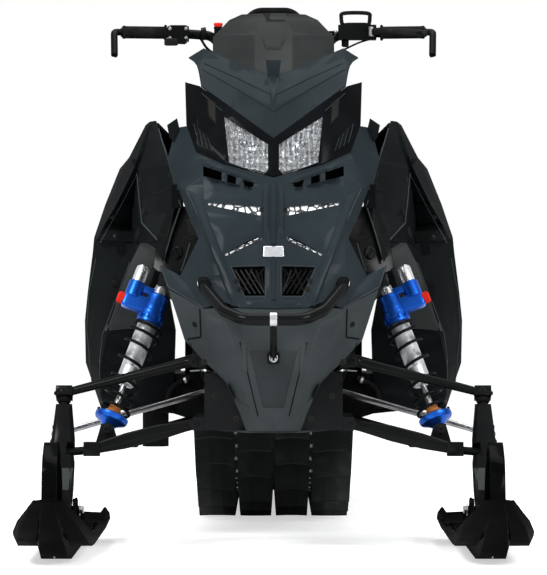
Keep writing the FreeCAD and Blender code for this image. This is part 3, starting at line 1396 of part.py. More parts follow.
def make_handlebar():
    """Bent bar with the clamp block on the post and the hooked ends."""
    bar = bent_tube(bar_route(), BAR_RADIUS, 34)
    clamp = block(at_bar(-34, -20, -32), at_bar(34, 26, 10))
    pieces = [bar, clamp]
    for side in (-1, 1):
        x = side * (GRIP_OUTER_X + 12)
        hook = [
            at_bar(side * (GRIP_OUTER_X - 2), -36, BAR_RISE),
            at_bar(x, -40, BAR_RISE),
            at_bar(x + side * 2, -90, BAR_RISE - 6),
            at_bar(x, -124, BAR_RISE - 58),
        ]
        pieces.append(bent_tube(hook, 8, 14))
    body = joined(pieces)
    return body.cut(rod(post_point(BAR_CLAMP_Z - 50), post_point(BAR_CLAMP_Z) + STEER_AXIS * 4, POST_RADIUS))


def make_grips():
    """Rubber grips over the bar ends."""
    start = bar_end(GRIP_INNER_X)
    end = bar_end(GRIP_OUTER_X - 3)
    left = rod(start, end, GRIP_RADIUS).cut(rod(start, end, BAR_RADIUS + RUNNING_FIT))
    return Part.makeCompound([left, mirrored(left)])


def make_controls():
    """Throttle block on the rider's right, and brake cylinder and lever on the left."""
    throttle = block(at_bar(-245, -42, BAR_RISE - 20), at_bar(-196, 6, BAR_RISE + 14))
    thumb = [(-250, 6), (-200, 10), (-200, 20), (-250, 16)]
    lever = prism_y([(x, BAR_CLAMP_Z + z) for x, z in thumb], BAR_CLAMP_Y - 60, BAR_CLAMP_Y - 36)
    brake = block(at_bar(150, -28, BAR_RISE - 16), at_bar(238, 14, BAR_RISE + 18))
    lever_route = [at_bar(222, -20, 38), at_bar(262, -80, 36), at_bar(346, -90, 30)]
    brake_lever = bent_tube(lever_route, 6, 14)
    bar = joined([bent_tube(bar_route(), BAR_RADIUS + RUNNING_FIT, 34)])
    right = joined([throttle, lever]).cut(bar)
    left = joined([brake, brake_lever]).cut(bar)
    return Part.makeCompound([right, left])


def make_strap():
    """Strap loop over the middle of the bar."""
    rise = STRAP_RISE - STRAP_RADIUS
    x = STRAP_HALF_WIDTH
    left = [at_bar(40, 20, rise), at_bar(x, 12, rise - 30), at_bar(x, 2, 1.2)]
    route = [Vector(-p.x, p.y, p.z) for p in reversed(left)] + left
    return bent_tube(route, STRAP_RADIUS, 40)


def build():
    """Make every piece and write its file."""
    os.makedirs("parts", exist_ok=True)
    ski = make_ski()
    save_pair("ski", ski)
    save_pair("ski_handle", make_ski_handle(ski))
    save_pair("spindle", make_spindle())
    save_pair("tie_rod", make_tie_rod())
    save_pair("upper_arm", make_upper_arm())
    save_pair("lower_arm", make_lower_arm())
    save_pair("front_shock", make_shock())
    save_pair("front_spring", make_spring())
    bulkhead = make_bulkhead()
    save("bulkhead", bulkhead)
    save("engine", make_engine())
    save("upper_frame", make_upper_frame())
    save("tunnel", make_tunnel())
    save_pair("running_board", make_running_board())
    save("track", make_track())
    save("slide_rails", make_slide_rails())
    save("bogie_wheels", make_bogie_wheels())
    save("idler_wheels", make_idler_wheels())
    save("drive_axle", make_drive_axle())
    save("front_torque_arm", make_front_torque_arm())
    save("rear_torque_arm", make_rear_torque_arm())
    save("skid_shocks", make_skid_shocks())
    hood = make_hood()
    side_panel = make_side_panel()
    save("hood", hood)
    nose_pan = make_nose_pan(hood)
    lower_panel = make_lower_panel(side_panel)
    footwell = make_footwell(bulkhead, nose_pan, lower_panel)
    save("nose_pan", nose_pan)
    save_pair("footwell", footwell)
    save("lamp_housing", make_lamp_housing())
    save("headlamps", make_headlamps())
    save("brow", make_brow())
    save("gauge_pod", make_gauge_pod())
    save_pair("side_panel", side_panel)
    save_pair("lower_panel", lower_panel)
    save_pair("side_intake", make_intake(hood, side_panel))
    save("console", make_console())
    save("seat", make_seat())
    save("front_bumper", make_front_bumper())
    save("rear_bumper", make_rear_bumper())
    save("snow_flap", make_snow_flap())
    save("tail_lamp", make_tail_lamp())
    save("exhaust", make_exhaust(mirrored(footwell)))
    save("steering_post", make_steering_post())
    save("handlebar", make_handlebar())
    save("grips", make_grips())
    save("hand_controls", make_controls())
    save("bar_strap", make_strap())


build()
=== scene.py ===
import json
import logging
import math
from dataclasses import dataclass, field
from enum import Enum
from typing import Dict, Iterable, List, Optional, Sequence, Tuple

import bmesh
import bpy
import numpy as np
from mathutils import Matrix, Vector


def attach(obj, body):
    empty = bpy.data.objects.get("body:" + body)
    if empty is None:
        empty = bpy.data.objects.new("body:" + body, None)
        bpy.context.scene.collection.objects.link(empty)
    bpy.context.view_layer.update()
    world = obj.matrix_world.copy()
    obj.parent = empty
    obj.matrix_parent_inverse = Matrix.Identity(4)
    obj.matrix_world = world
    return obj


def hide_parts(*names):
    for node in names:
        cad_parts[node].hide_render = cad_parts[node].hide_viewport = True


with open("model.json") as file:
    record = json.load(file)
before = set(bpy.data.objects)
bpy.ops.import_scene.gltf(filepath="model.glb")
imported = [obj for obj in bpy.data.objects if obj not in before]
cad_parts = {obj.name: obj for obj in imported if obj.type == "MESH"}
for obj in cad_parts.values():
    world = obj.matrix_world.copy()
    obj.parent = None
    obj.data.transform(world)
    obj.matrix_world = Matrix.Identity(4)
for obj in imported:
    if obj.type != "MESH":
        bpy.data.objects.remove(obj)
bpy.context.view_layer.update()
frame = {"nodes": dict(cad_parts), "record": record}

LOG = logging.getLogger("snowmobile")
Point = Sequence[float]

# Metres from the ski bolts back to the row frame's origin, and the lean of the steering axis
ORIGIN_Y = 1.115
LEAN = math.radians(25.0)
UP, DOWN, FORE, REAR, OUT = (0, 0, 1), (0, 0, -1), (0, -1, 0), (0, 1, 0), (1, 0, 0)

# Camera of the photograph: its place in metres, its focal length and middle in pixels
CAMERA = (0.0, -ORIGIN_Y - 8.68, 0.568)
FOCUS = 4010.0
PHOTO_MIDDLE = (273.5, 291.0)

# Metres within which points are joined, the largest bend of a face that counts as flat,
# how far off a laid point starts, and how near to parallel or outside a ray may be
WELD = 2e-6
FLAT = math.radians(0.6)
AWAY = 2.0
PARALLEL = 1e-15
SLACK = 1e-6


class Side(Enum):
    """Side of the machine, as the sign of X."""

    LEFT = 1
    RIGHT = -1

    @property
    def word(self) -> str:
        """Ending of this side's node and piece names."""
        return self.name.lower()


# Shader maths

class Wire:
    """A value in a material's node tree that can be used in sums and products."""

    def __init__(self, tree: "Shader", socket: bpy.types.NodeSocket) -> None:
        """Keep the tree and the socket."""
        self.tree = tree
        self.socket = socket

    def _math(self, operation: str, first: object, second: object) -> "Wire":
        """Add one Math node."""
        return self.tree.node("ShaderNodeMath", {"operation": operation}, {0: first, 1: second})

    def __add__(self, other: object) -> "Wire":
        """Sum."""
        return self._math("ADD", self, other)

    __radd__ = __add__

    def __mul__(self, other: object) -> "Wire":
        """Product."""
        return self._math("MULTIPLY", self, other)

    __rmul__ = __mul__

    def __sub__(self, other: object) -> "Wire":
        """Difference."""
        return self._math("SUBTRACT", self, other)

    def __rsub__(self, other: object) -> "Wire":
        """Difference the other way round."""
        return self._math("SUBTRACT", other, self)

    def __gt__(self, other: object) -> "Wire":
        """One where the value is above the other, else zero."""
        return self._math("GREATER_THAN", self, other)

    def __pow__(self, other: object) -> "Wire":
        """Power."""
        return self._math("POWER", self, other)

    def wave(self) -> "Wire":
        """Sine of the value."""
        return self._math("SINE", self, 0.0)

    def away(self) -> "Wire":
        """Size of the value without its sign."""
        return self._math("ABSOLUTE", self, 0.0)

    def least(self, other: object) -> "Wire":
        """Smaller of the two values."""
        return self._math("MINIMUM", self, other)

    def most(self, other: object) -> "Wire":
        """Larger of the two values."""
        return self._math("MAXIMUM", self, other)

    def step(self, low: float, high: float, start: float = 0.0, end: float = 1.0) -> "Wire":
        """Smooth step from start at low to end at high."""
        settings = {"interpolation_type": "SMOOTHSTEP"}
        return self.tree.node("ShaderNodeMapRange", settings, {0: self, 1: low, 2: high, 3: start, 4: end})


class Shader:
    """Node tree of one material, with short ways to add nodes."""

    def __init__(self, name: str) -> None:
        """Start a material with a Principled shader."""
        self.material = bpy.data.materials.new(name)
        self.material.use_nodes = True
        self.nodes = self.material.node_tree.nodes
        self.links = self.material.node_tree.links
        self.surface = self.nodes["Principled BSDF"]
        self.place = self.node("ShaderNodeTexCoord", {}, {}, "Object")

    def node(self, kind: str, settings: Dict[str, object], inputs: Dict[object, object],
             output: object = 0) -> Wire:
        """Add a node.

        Args:
            kind: The node's type.
            settings: Properties that are set first; "stops" fills a colour ramp.
            inputs: Values or wires for its sockets.
            output: The socket that is returned.

        Returns:
            The chosen output.
        """
        node = self.nodes.new(kind)
        for key, value in settings.items():
            if key == "stops":
                self._fill_ramp(node.color_ramp, value)
            else:
                setattr(node, key, value)
        for key, value in inputs.items():
            self.plug(node.inputs[key], value)
        return Wire(self, node.outputs[output])

    def _fill_ramp(self, ramp: bpy.types.ColorRamp, stops: Sequence[Tuple[float, Point]]) -> None:
        """Give a colour ramp its stops."""
        while len(ramp.elements) < len(stops):
            ramp.elements.new(0.5)
        for element, (place, colour) in zip(ramp.elements, stops):
            element.position = place
            element.color = (*colour, 1.0)

    def plug(self, socket: bpy.types.NodeSocket, value: object) -> None:
        """Link a wire to a socket, or set its value."""
        if isinstance(value, Wire):
            self.links.new(value.socket, socket)
        elif isinstance(value, tuple) and len(value) == 3 and socket.type == "RGBA":
            socket.default_value = (*value, 1.0)
        else:
            socket.default_value = value

    def noise(self, size: float, detail: float = 3.0, stretch: Optional[Point] = None) -> Wire:
        """Cloudy pattern between 0 and 1 with patches of about this size in metres."""
        place = self.place
        if stretch is not None:
            place = self.node("ShaderNodeVectorMath", {"operation": "MULTIPLY"}, {0: place, 1: stretch})
        sockets = {"Vector": place, "Scale": 1.0 / size, "Detail": detail}
        return self.node("ShaderNodeTexNoise", {}, sockets, 0)

    def cells(self, size: float, feature: str = "F1", output: object = 0) -> Wire:
        """Pattern of cells of this size in metres."""
        sockets = {"Vector": self.place, "Scale": 1.0 / size}
        return self.node("ShaderNodeTexVoronoi", {"feature": feature}, sockets, output)

    def axis(self, letter: str) -> Wire:
        """One coordinate of the object, in metres."""
        return self.node("ShaderNodeSeparateXYZ", {}, {0: self.place}, letter)

    def tint(self, share: object, low: object, high: object) -> Wire:
        """Blend of two colours."""
        node = self.nodes.new("ShaderNodeMix")
        node.data_type = "RGBA"
        self.plug(node.inputs[0], share)
        self.plug(node.inputs[6], low)
        self.plug(node.inputs[7], high)
        return Wire(self, node.outputs[2])

    def bump(self, height: Wire, depth: float, base: Optional[Wire] = None) -> Wire:
        """Surface relief of this depth in metres."""
        sockets = {"Height": height, "Distance": depth, "Strength": 1.0}
        if base is not None:
            sockets["Normal"] = base
        return self.node("ShaderNodeBump", {}, sockets)

    def set(self, **values: object) -> None:
        """Set sockets of the Principled shader by their names with underscores."""
        for name, value in values.items():
            self.plug(self.surface.inputs[name.replace("_", " ")], value)


MADE: Dict["Finish", bpy.types.Material] = {}


@dataclass(frozen=True)
class Finish:
    """Moulded or painted surface with grain, cloudy gloss and light wear."""

    name: str
    slot: str
    colour: Tuple[float, float, float]
    roughness: float = 0.4
    metallic: float = 0.0
    coat: float = 0.035
    grain: float = 0.0006
    grain_depth: float = 0.00002
    cloud: float = 0.12
    wear: float = 0.35
    lift: float = 1.7
    gloss: float = 0.0

    def dress(self, shader: Shader) -> None:
        """Fill in the node tree."""
        patch = shader.noise(0.09, 4.0)
        fine = shader.noise(self.grain, 2.0)
        scuff = shader.noise(0.012, 6.0, (1.0, 0.25, 1.0)).step(0.62, 0.72)
        pale = tuple(min(1.0, channel * self.lift + 0.004) for channel in self.colour)
        share = patch.step(0.3, 0.8, 0.0, 0.35) + scuff * (0.3 * self.wear)
        shader.set(Base_Color=shader.tint(share, self.colour, pale))
        rough = patch * self.cloud + scuff * (0.14 * self.wear) + (self.roughness - self.cloud / 2)
        shader.set(Roughness=rough + fine * 0.04)
        shader.set(Metallic=self.metallic, Specular_IOR_Level=self.gloss)
        if self.coat:
            shader.set(Coat_Weight=self.coat, Coat_Roughness=0.16)
        shader.set(Normal=shader.bump(fine, self.grain_depth))

    def material(self) -> bpy.types.Material:
        """The Blender material, made once."""
        if self not in MADE:
            shader = Shader(self.name + "_finish")
            self.dress(shader)
            MADE[self] = shader.material
        return MADE[self]


@dataclass(frozen=True)
class BrushedMetal(Finish):
    """Bare metal with fine drawn lines and dull spots."""

    metallic: float = 1.0
    roughness: float = 0.34

    def dress(self, shader: Shader) -> None:
        """Fill in the node tree."""
        lines = shader.noise(0.0012, 4.0, (0.08, 1.0, 1.0))
        spots = shader.noise(0.02, 5.0).step(0.45, 0.75)
        dull = tuple(channel * 0.62 for channel in self.colour)
        shader.set(Base_Color=shader.tint(spots * 0.6, self.colour, dull), Metallic=self.metallic)
        shader.set(Roughness=lines * 0.14 + spots * 0.16 + (self.roughness - 0.1))
        shader.set(Normal=shader.bump(lines, 0.00003))


@dataclass(frozen=True)
class Rubber(Finish):
    """Moulded rubber with a fine pebble and dusty high spots."""

    roughness: float = 0.62
    grain: float = 0.0011

    def dress(self, shader: Shader) -> None:
        """Fill in the node tree."""
        pebble = shader.cells(self.grain)
        dust = shader.noise(0.05, 6.0).step(0.45, 0.75)
        scrub = shader.noise(0.006, 5.0)
        pale = tuple(min(1.0, channel * 2.4 + 0.008) for channel in self.colour)
        shader.set(Base_Color=shader.tint(dust * 0.35 + scrub * 0.15, self.colour, pale))
        shader.set(Roughness=dust * 0.16 + scrub * 0.1 + (self.roughness - 0.12),
                   Specular_IOR_Level=self.gloss)
        shader.set(Normal=shader.bump(pebble, 0.00008, shader.bump(scrub, 0.0003)))


@dataclass(frozen=True)
class SeatCloth(Finish):
    """Grippy woven seat cover."""

    roughness: float = 0.72

    def dress(self, shader: Shader) -> None:
        """Fill in the node tree."""
        along = (shader.axis("Y") * 1900.0).wave()
        across = (shader.axis("X") * 1900.0).wave()
        weave = (along * across) * 0.5 + 0.5
        patch = shader.noise(0.07, 4.0)
        pale = tuple(channel * 2.0 for channel in self.colour)
        shader.set(Base_Color=shader.tint(weave * 0.4 + patch * 0.3, self.colour, pale))
        shader.set(Roughness=patch * 0.16 + (self.roughness - 0.08), Specular_IOR_Level=self.gloss)
        shader.set(Normal=shader.bump(weave, 0.00025, shader.bump(patch, 0.0006)))


@dataclass(frozen=True)
class Lens(Finish):
    """Clear moulded lens with faint haze."""

    roughness: float = 0.03

    def dress(self, shader: Shader) -> None:
        """Fill in the node tree."""
        haze = shader.noise(0.03, 4.0)
        shader.set(Base_Color=self.colour, Transmission_Weight=1.0, IOR=1.45)
        shader.set(Roughness=haze * 0.05 + self.roughness, Normal=shader.bump(haze, 0.00005))


@dataclass(frozen=True)
class SlitMesh(Finish):
    """Bright metal gauze with a jagged dark print."""

    def dress(self, shader: Shader) -> None:
        """Fill in the node tree."""
        blots = shader.cells(0.016, "DISTANCE_TO_EDGE").step(0.09, 0.13)
        wires = ((shader.axis("X") * 2600.0).wave() * (shader.axis("Z") * 2600.0).wave()).away()
        shader.set(Base_Color=shader.tint(blots, (0.008, 0.008, 0.009), self.colour))
        shader.set(Metallic=blots * 0.7, Roughness=wires * 0.25 + 0.3)
        shader.set(Normal=shader.bump(wires, 0.0003))


@dataclass(frozen=True)
class Chrome(Finish):
    """Fluted reflector of a headlamp, with painted highlights: its colour and a faint painted glow are
    brightened in stripes, rungs and spots.
    """

    # Strength of the painted glow, an emission that brightens the reflector.
    strength: float = 0.35

    def dress(self, shader: Shader) -> None:
        """Fill in the node tree."""
        # Upright stripes, rungs and small spots are painted highlights on the flutes; they brighten both
        # the colour and the glow.
        bars = (shader.axis("X") * 560.0 + shader.noise(0.03, 3.0) * 4.0).wave().step(-0.7, 0.9)
        rungs = (shader.axis("Z") * 430.0 + shader.noise(0.02, 3.0) * 3.0).wave().step(-0.2, 0.9)
        spots = shader.noise(0.007, 5.0, (1.0, 1.0, 0.4)).step(0.42, 0.66)
        flutes = bars * 0.4 + rungs * 0.15 + spots * 0.45
        facets = shader.cells(0.011, "DISTANCE_TO_EDGE").step(0.0, 0.2)
        light = flutes * 0.75 + facets * 0.25
        shader.set(Base_Color=shader.tint(light, (0.12, 0.13, 0.14), self.colour), Metallic=0.85)
        shader.set(Roughness=flutes * 0.2 + 0.12, Emission_Strength=self.strength)
        shader.set(Emission_Color=shader.tint(light, (0.02, 0.02, 0.02), self.colour))
        shader.set(Normal=shader.bump(facets, 0.0008))


@dataclass(frozen=True)
class Display(Finish):
    """Dark glass of the gauge, a little clouded."""

    def dress(self, shader: Shader) -> None:
        """Fill in the node tree."""
        smear = shader.noise(0.05, 5.0)
        shader.set(Base_Color=self.colour, Roughness=smear * 0.12 + self.roughness)
        shader.set(Coat_Weight=1.0, Normal=shader.bump(smear, 0.00004))


BODY = Finish("body_plastic", "body_plastic", (0.0046, 0.0057, 0.0063), 0.36)
HOOD = Finish("hood_plastic", "body_plastic", (0.0135, 0.0185, 0.0215), 0.36)
GLOSS = Finish("gloss_black", "body_plastic", (0.0028, 0.003, 0.0032), 0.16, cloud=0.06, coat=0.12)
BROW = Finish("brow_plastic", "brow_plastic", (0.0115, 0.0155, 0.0175), 0.48, grain_depth=0.00004)
TRIM = Finish("trim_plastic", "trim_plastic", (0.0034, 0.0037, 0.0039), 0.5,
              grain=0.0009, grain_depth=0.00005)
POD = Finish("pod_plastic", "trim_plastic", (0.0165, 0.018, 0.018), 0.55, grain=0.0009, grain_depth=0.00005)
PAN = Finish("pan_plastic", "trim_plastic", (0.03, 0.035, 0.037), 0.46, grain=0.0008, grain_depth=0.00003)
# Darker copy of the pan plastic: painted shade on the middle of the nose pan.
PAN_SHADED = Finish("pan_low_plastic", "trim_plastic", (0.022, 0.0258, 0.0275), 0.46, grain_depth=0.00003)
LINER = Finish("liner_plastic", "trim_plastic", (0.034, 0.037, 0.037), 0.5,
               grain=0.0008, grain_depth=0.00003)
SURROUND = Finish("surround_plastic", "trim_plastic", (0.0022, 0.0027, 0.0032), 0.4)
CAP = Finish("cap_plastic", "trim_plastic", (0.012, 0.0118, 0.0112), 0.55)
SKI = Finish("ski_plastic", "ski_plastic", (0.0009, 0.001, 0.0011), 0.24, wear=0.5, coat=0.03)
PAINT = Finish("frame_paint", "black_gloss", (0.0035, 0.0038, 0.004), 0.24, coat=0.1)
ALLOY_DARK = Finish("dark_alloy", "dark_alloy", (0.0095, 0.01, 0.0105), 0.42, grain_depth=0.00003)
TUNNEL = Finish("tunnel_coat", "dark_alloy", (0.0165, 0.0172, 0.018), 0.4, metallic=0.25, coat=0.06)
ALLOY = BrushedMetal("bare_alloy", "alloy", (0.36, 0.37, 0.38), roughness=0.4)
STEEL = BrushedMetal("bare_steel", "bare_metal", (0.3, 0.3, 0.31))
BLUE = Finish("blue_anodised", "shock_body", (0.008, 0.065, 0.34), 0.3, metallic=0.75)
RED = Finish("red_knob", "red_lens", (0.5, 0.02, 0.012), 0.35)
BUMPSTOP = Finish("bump_stop", "grip_rubber", (0.32, 0.12, 0.035), 0.55)
SILVER = BrushedMetal("shock_silver", "bare_metal", (0.66, 0.67, 0.69), roughness=0.3)
SHAFT = BrushedMetal("shock_tube", "bare_metal", (0.46, 0.47, 0.48), roughness=0.4)
TRACK = Rubber("track_rubber", "track_rubber", (0.02, 0.0215, 0.0215))
GRIP = Rubber("grip_rubber", "grip_rubber", (0.006, 0.006, 0.0064), grain=0.0014)
WHEEL = Finish("wheel_plastic", "wheel_plastic", (0.009, 0.0095, 0.01), 0.4)
SEAT = SeatCloth("seat_cloth", "seat_cover", (0.0055, 0.006, 0.0063))
LENS = Lens("clear_lens", "lens", (0.95, 0.97, 0.98))
TAIL = Finish("tail_lens", "red_lens", (0.35, 0.006, 0.006), 0.16)
GAUZE = SlitMesh("slit_gauze", "alloy", (0.72, 0.74, 0.76))
# Headlamp reflector, with painted highlights and a painted glow.
REFLECTOR = Chrome("lamp_reflector", "lens", (0.9, 0.92, 0.94))
GLASS = Display("gauge_glass", "lens", (0.004, 0.005, 0.006), 0.08)
BADGE = BrushedMetal("badge_plate", "alloy", (0.5, 0.51, 0.53), roughness=0.3)

NODE_FINISH: Dict[str, Finish] = {node: finish for finish, nodes in (
    (SKI, "ski ski_handle"), (STEEL, "tie_rod drive_axle"), (SHAFT, "front_shock skid_shocks"),
    (PAINT, "spindle upper_arm lower_arm front_spring upper_frame front_torque_arm rear_torque_arm"),
    (PAINT, "front_bumper rear_bumper steering_post handlebar"), (TRIM, "footwell console hand_controls"),
    (ALLOY_DARK, "running_board bulkhead engine slide_rails exhaust"), (TUNNEL, "tunnel"), (SEAT, "seat"),
    (BODY, "side_panel lower_panel"), (GLOSS, "side_intake"), (HOOD, "hood"), (PAN, "nose_pan"),
    (SURROUND, "lamp_housing"), (BROW, "brow"), (POD, "gauge_pod"), (LENS, "headlamps"),
    (TAIL, "tail_lamp"), (TRACK, "track snow_flap"), (WHEEL, "bogie_wheels idler_wheels"),
    (GRIP, "grips bar_strap"),
) for node in nodes.split()}


# Surfaces from numbers

def row(point: object) -> np.ndarray:
    """Metres in the row frame, from millimetres counted from the ski bolts."""
    array = np.asarray(point, float) / 1000.0
    return array - np.array([0.0, ORIGIN_Y, 0.0])


def unit(vector: object) -> np.ndarray:
    """The vector or vectors at length one."""
    array = np.asarray(vector, float)
    return array / np.linalg.norm(array, axis=-1, keepdims=True)


def across_of(ahead: np.ndarray) -> Tuple[np.ndarray, np.ndarray]:
    """Two directions square to one direction."""
    seed = np.array([0.0, 0.0, 1.0]) if abs(ahead[2]) < 0.9 else np.array([0.0, 1.0, 0.0])
    first = unit(np.cross(ahead, seed))
    return first, np.cross(ahead, first)


@dataclass(frozen=True)
class Surface:
    """Points of a mesh in metres and its faces, as whole arrays."""

    points: np.ndarray
    faces: List[List[int]]

    def __add__(self, other: "Surface") -> "Surface":
        """Both surfaces as one."""
        count = len(self.points)
        moved = [[corner + count for corner in face] for face in other.faces]
        return Surface(np.vstack([self.points, other.points]), self.faces + moved)

    def mirrored(self) -> "Surface":
        """The surface on the other side of the machine."""
        flip = np.array([-1.0, 1.0, 1.0])
        return Surface(self.points * flip, [face[::-1] for face in self.faces])

    def both(self) -> "Surface":
        """The surface with its mirror image."""
        return self + self.mirrored()

    def on(self, side: Side) -> "Surface":
        """The surface, made for the rider's left, on this side."""
        return self if side is Side.LEFT else self.mirrored()

    def copies(self, shifts: np.ndarray) -> "Surface":
        """One copy at each shift, as one surface."""
        shifts = np.asarray(shifts, float)
        points = (shifts[:, None, :] + self.points[None]).reshape(-1, 3)
        steps = range(0, len(shifts) * len(self.points), len(self.points))
        return Surface(points, [[corner + step for corner in face] for step in steps
                                for face in self.faces])


def total(surfaces: Iterable[Surface]) -> Surface:
    """Many surfaces as one."""
    parts = list(surfaces)
    starts = np.cumsum([0] + [len(part.points) for part in parts])
    faces = [[corner + int(start) for corner in face] for part, start in zip(parts, starts)
             for face in part.faces]
    return Surface(np.vstack([part.points for part in parts]), faces)


def grid_faces(rows: int, columns: int, loop: bool = True, closed: bool = False) -> List[List[int]]:
    """Quads of a grid of points.

    Args:
        rows: Rings or lines of the grid.
        columns: Points in each line.
        loop: Whether each line closes on itself.
        closed: Whether the last line joins the first.

    Returns:
        The corner numbers of each quad.
    """
    i, j = np.meshgrid(np.arange(rows if closed else rows - 1), np.arange(columns if loop else columns - 1),
                       indexing="ij")
    k, below = (j + 1) % columns, (i + 1) % rows
    quads = np.stack([i * columns + j, i * columns + k, below * columns + k, below * columns + j], -1)
    return quads.reshape(-1, 4).tolist()


def grid(points: np.ndarray, loop: bool = False, closed: bool = False, caps: bool = False) -> Surface:
    """Surface through an array of rows by columns of points, with flat ends if caps is true."""
    rows, columns = points.shape[:2]
    faces = grid_faces(rows, columns, loop, closed)
    if caps:
        faces.append(np.arange(columns)[::-1].tolist())
        faces.append(((rows - 1) * columns + np.arange(columns)).tolist())
    return Surface(points.reshape(-1, 3), faces)


def smooth_path(points: object, steps: int) -> np.ndarray:
    """Points evenly spread on a Catmull-Rom curve through the given points."""
    given = np.asarray(points, float)
    padded = np.vstack([2 * given[0] - given[1], given, 2 * given[-1] - given[-2]])
    place = np.linspace(0, len(given) - 1, steps)
    index = np.minimum(place.astype(int), len(given) - 2)
    t = (place - index)[:, None]
    a, b, c, d = padded[index], padded[index + 1], padded[index + 2], padded[index + 3]
    cubic = (3 * b - a - 3 * c + d) * t ** 3 + (2 * a - 5 * b + 4 * c - d) * t ** 2
    return 0.5 * (cubic + (c - a) * t + 2 * b)


def straight_path(points: object, steps: int) -> np.ndarray:
    """Points evenly spread along straight runs between the given points."""
    given = np.asarray(points, float)
    reach = np.concatenate([[0.0], np.cumsum(np.linalg.norm(np.diff(given, axis=0), axis=1))])
    place = np.linspace(0, reach[-1], steps)
    return np.stack([np.interp(place, reach, given[:, axis]) for axis in range(given.shape[1])], -1)


def sweep(path: np.ndarray, profile: object, up: object = None, scale: object = 1.0) -> Surface:
    """Profile carried along a path.

    Each ring is the path's point plus the profile's first number times the direction across
    and its second number times the direction up, all times the scale there.

    Args:
        path: Points in metres.
        profile: Closed outline of (across, up) pairs in metres.
        up: Direction that the second number follows, or none for a turn-free choice.
        scale: Size of the profile, alone or for each point of the path.

    Returns:
        The closed surface.
    """
    path = np.asarray(path, float)
    ahead = unit(np.gradient(path, axis=0))
    hint = across_of(ahead[0])[1] if up is None else np.asarray(up, float)
    hint = np.broadcast_to(hint, path.shape)
    across = unit(np.cross(ahead, hint))
    lift = np.cross(across, ahead)
    shape = np.asarray(profile, float)
    size = np.broadcast_to(np.asarray(scale, float), (len(path),))[:, None, None]
    ring = shape[None, :, 0, None] * across[:, None] + shape[None, :, 1, None] * lift[:, None]
    return grid(path[:, None] + ring * size, loop=True, caps=True)


def circle(sides: int, radius: float = 1.0) -> np.ndarray:
    """Outline of a round profile."""
    angle = np.linspace(0, 2 * math.pi, sides, endpoint=False)
    return np.stack([np.cos(angle), np.sin(angle)], -1) * radius


def tube(path: np.ndarray, radius: object, sides: int = 14) -> Surface:
    """Round tube: at each point of the path a circle, turned as little as possible."""
    path = np.asarray(path, float)
    ahead = unit(np.gradient(path, axis=0))
    first = [across_of(ahead[0])[0]]
    for direction in ahead[1:]:
        first.append(unit(first[-1] - direction * np.dot(first[-1], direction)))
    across = np.array(first)
    up = np.cross(ahead, across)
    shape = circle(sides)
    reach = np.broadcast_to(np.asarray(radius, float), (len(path),))[:, None, None]
    ring = shape[None, :, 0, None] * across[:, None] + shape[None, :, 1, None] * up[:, None]
    return grid(path[:, None] + ring * reach, loop=True, caps=True)


def lathe(start: object, ahead: object, profile: object, sides: int = 32) -> Surface:
    """Turned shape: a circle of radius r at distance d from start along ahead, for each (d, r)."""
    ahead = unit(ahead)
    across, up = across_of(ahead)
    shape = np.asarray(profile, float)
    ring = circle(sides)
    round_ = ring[:, 0, None] * across + ring[:, 1, None] * up
    along = np.asarray(start, float) + shape[:, 0, None, None] * ahead
    points = along + shape[:, 1, None, None] * round_[None]
    return grid(points, loop=True, caps=True)


def pebble(centre: object, half: object, axes: object = None, power: float = 0.25,
           steps: int = 20) -> Surface:
    """Block with rounded edges.

    Each point is the centre plus, along each axis, its half size times the signed power of the
    cosines and sines of two angles. A low power gives flat sides, and a power of one gives an egg.

    Args:
        centre: Middle in metres.
        half: Half sizes along the three axes.
        axes: Three unit directions, or none for X, Y and Z.
        power: How round it is.
        steps: Points round it.

    Returns:
        The closed surface.
    """
    def bent(value: np.ndarray) -> np.ndarray:
        """Signed power."""
        return np.sign(value) * np.abs(value) ** power

    turn = np.eye(3) if axes is None else np.asarray(axes, float)
    rise = np.linspace(-math.pi / 2 + 0.02, math.pi / 2 - 0.02, steps // 2 + 1)[:, None]
    round_ = np.linspace(0, 2 * math.pi, steps, endpoint=False)[None, :] + math.pi / steps
    local = np.stack([bent(np.cos(rise)) * bent(np.cos(round_)), bent(np.cos(rise)) * bent(np.sin(round_)),
                      bent(np.sin(rise)) * np.ones_like(round_)], -1) * np.asarray(half, float)
    return grid(local @ turn + np.asarray(centre, float), loop=True, caps=True)


def slab(outline: object, depth: object) -> Surface:
    """Flat outline given a thickness: the outline and its copy moved by depth, joined round the edge."""
    near = np.asarray(outline, float)
    return grid(np.stack([near, near + np.asarray(depth, float)]), loop=True, caps=True)


def strip_profile(width: float, thickness: float) -> List[Tuple[float, float]]:
    """Outline of a flat strip from its half width and half thickness."""
    return [(-width, -thickness), (width, -thickness), (width, thickness), (-width, thickness)]


def ridged(first: Point, start: float, pitch: float, count: int, radius: float, last: Point) -> List[Point]:
    """Turned profile of a knob whose radius drops by 0.6 mm at every other step."""
    ridges = [(start + pitch * k, radius - 0.0006 * (k % 2)) for k in range(count)]
    return [first] + ridges + [last]


def bolt(place: object, ahead: object, radius: float, sides: int = 6) -> Surface:
    """Washer with a bolt head on it, standing out along ahead."""
    place = np.asarray(place, float)
    washer = lathe(place, ahead,
                   [(-0.0005, radius * 1.5), (0.0008, radius * 1.5), (0.0012, radius * 1.35)], 20)
    head = [(0.0008, radius), (radius * 0.75, radius), (radius * 0.95, radius * 0.8),
            (radius * 0.95, radius * 0.5), (radius * 0.55, radius * 0.42)]
    return washer + lathe(place, ahead, head, sides)


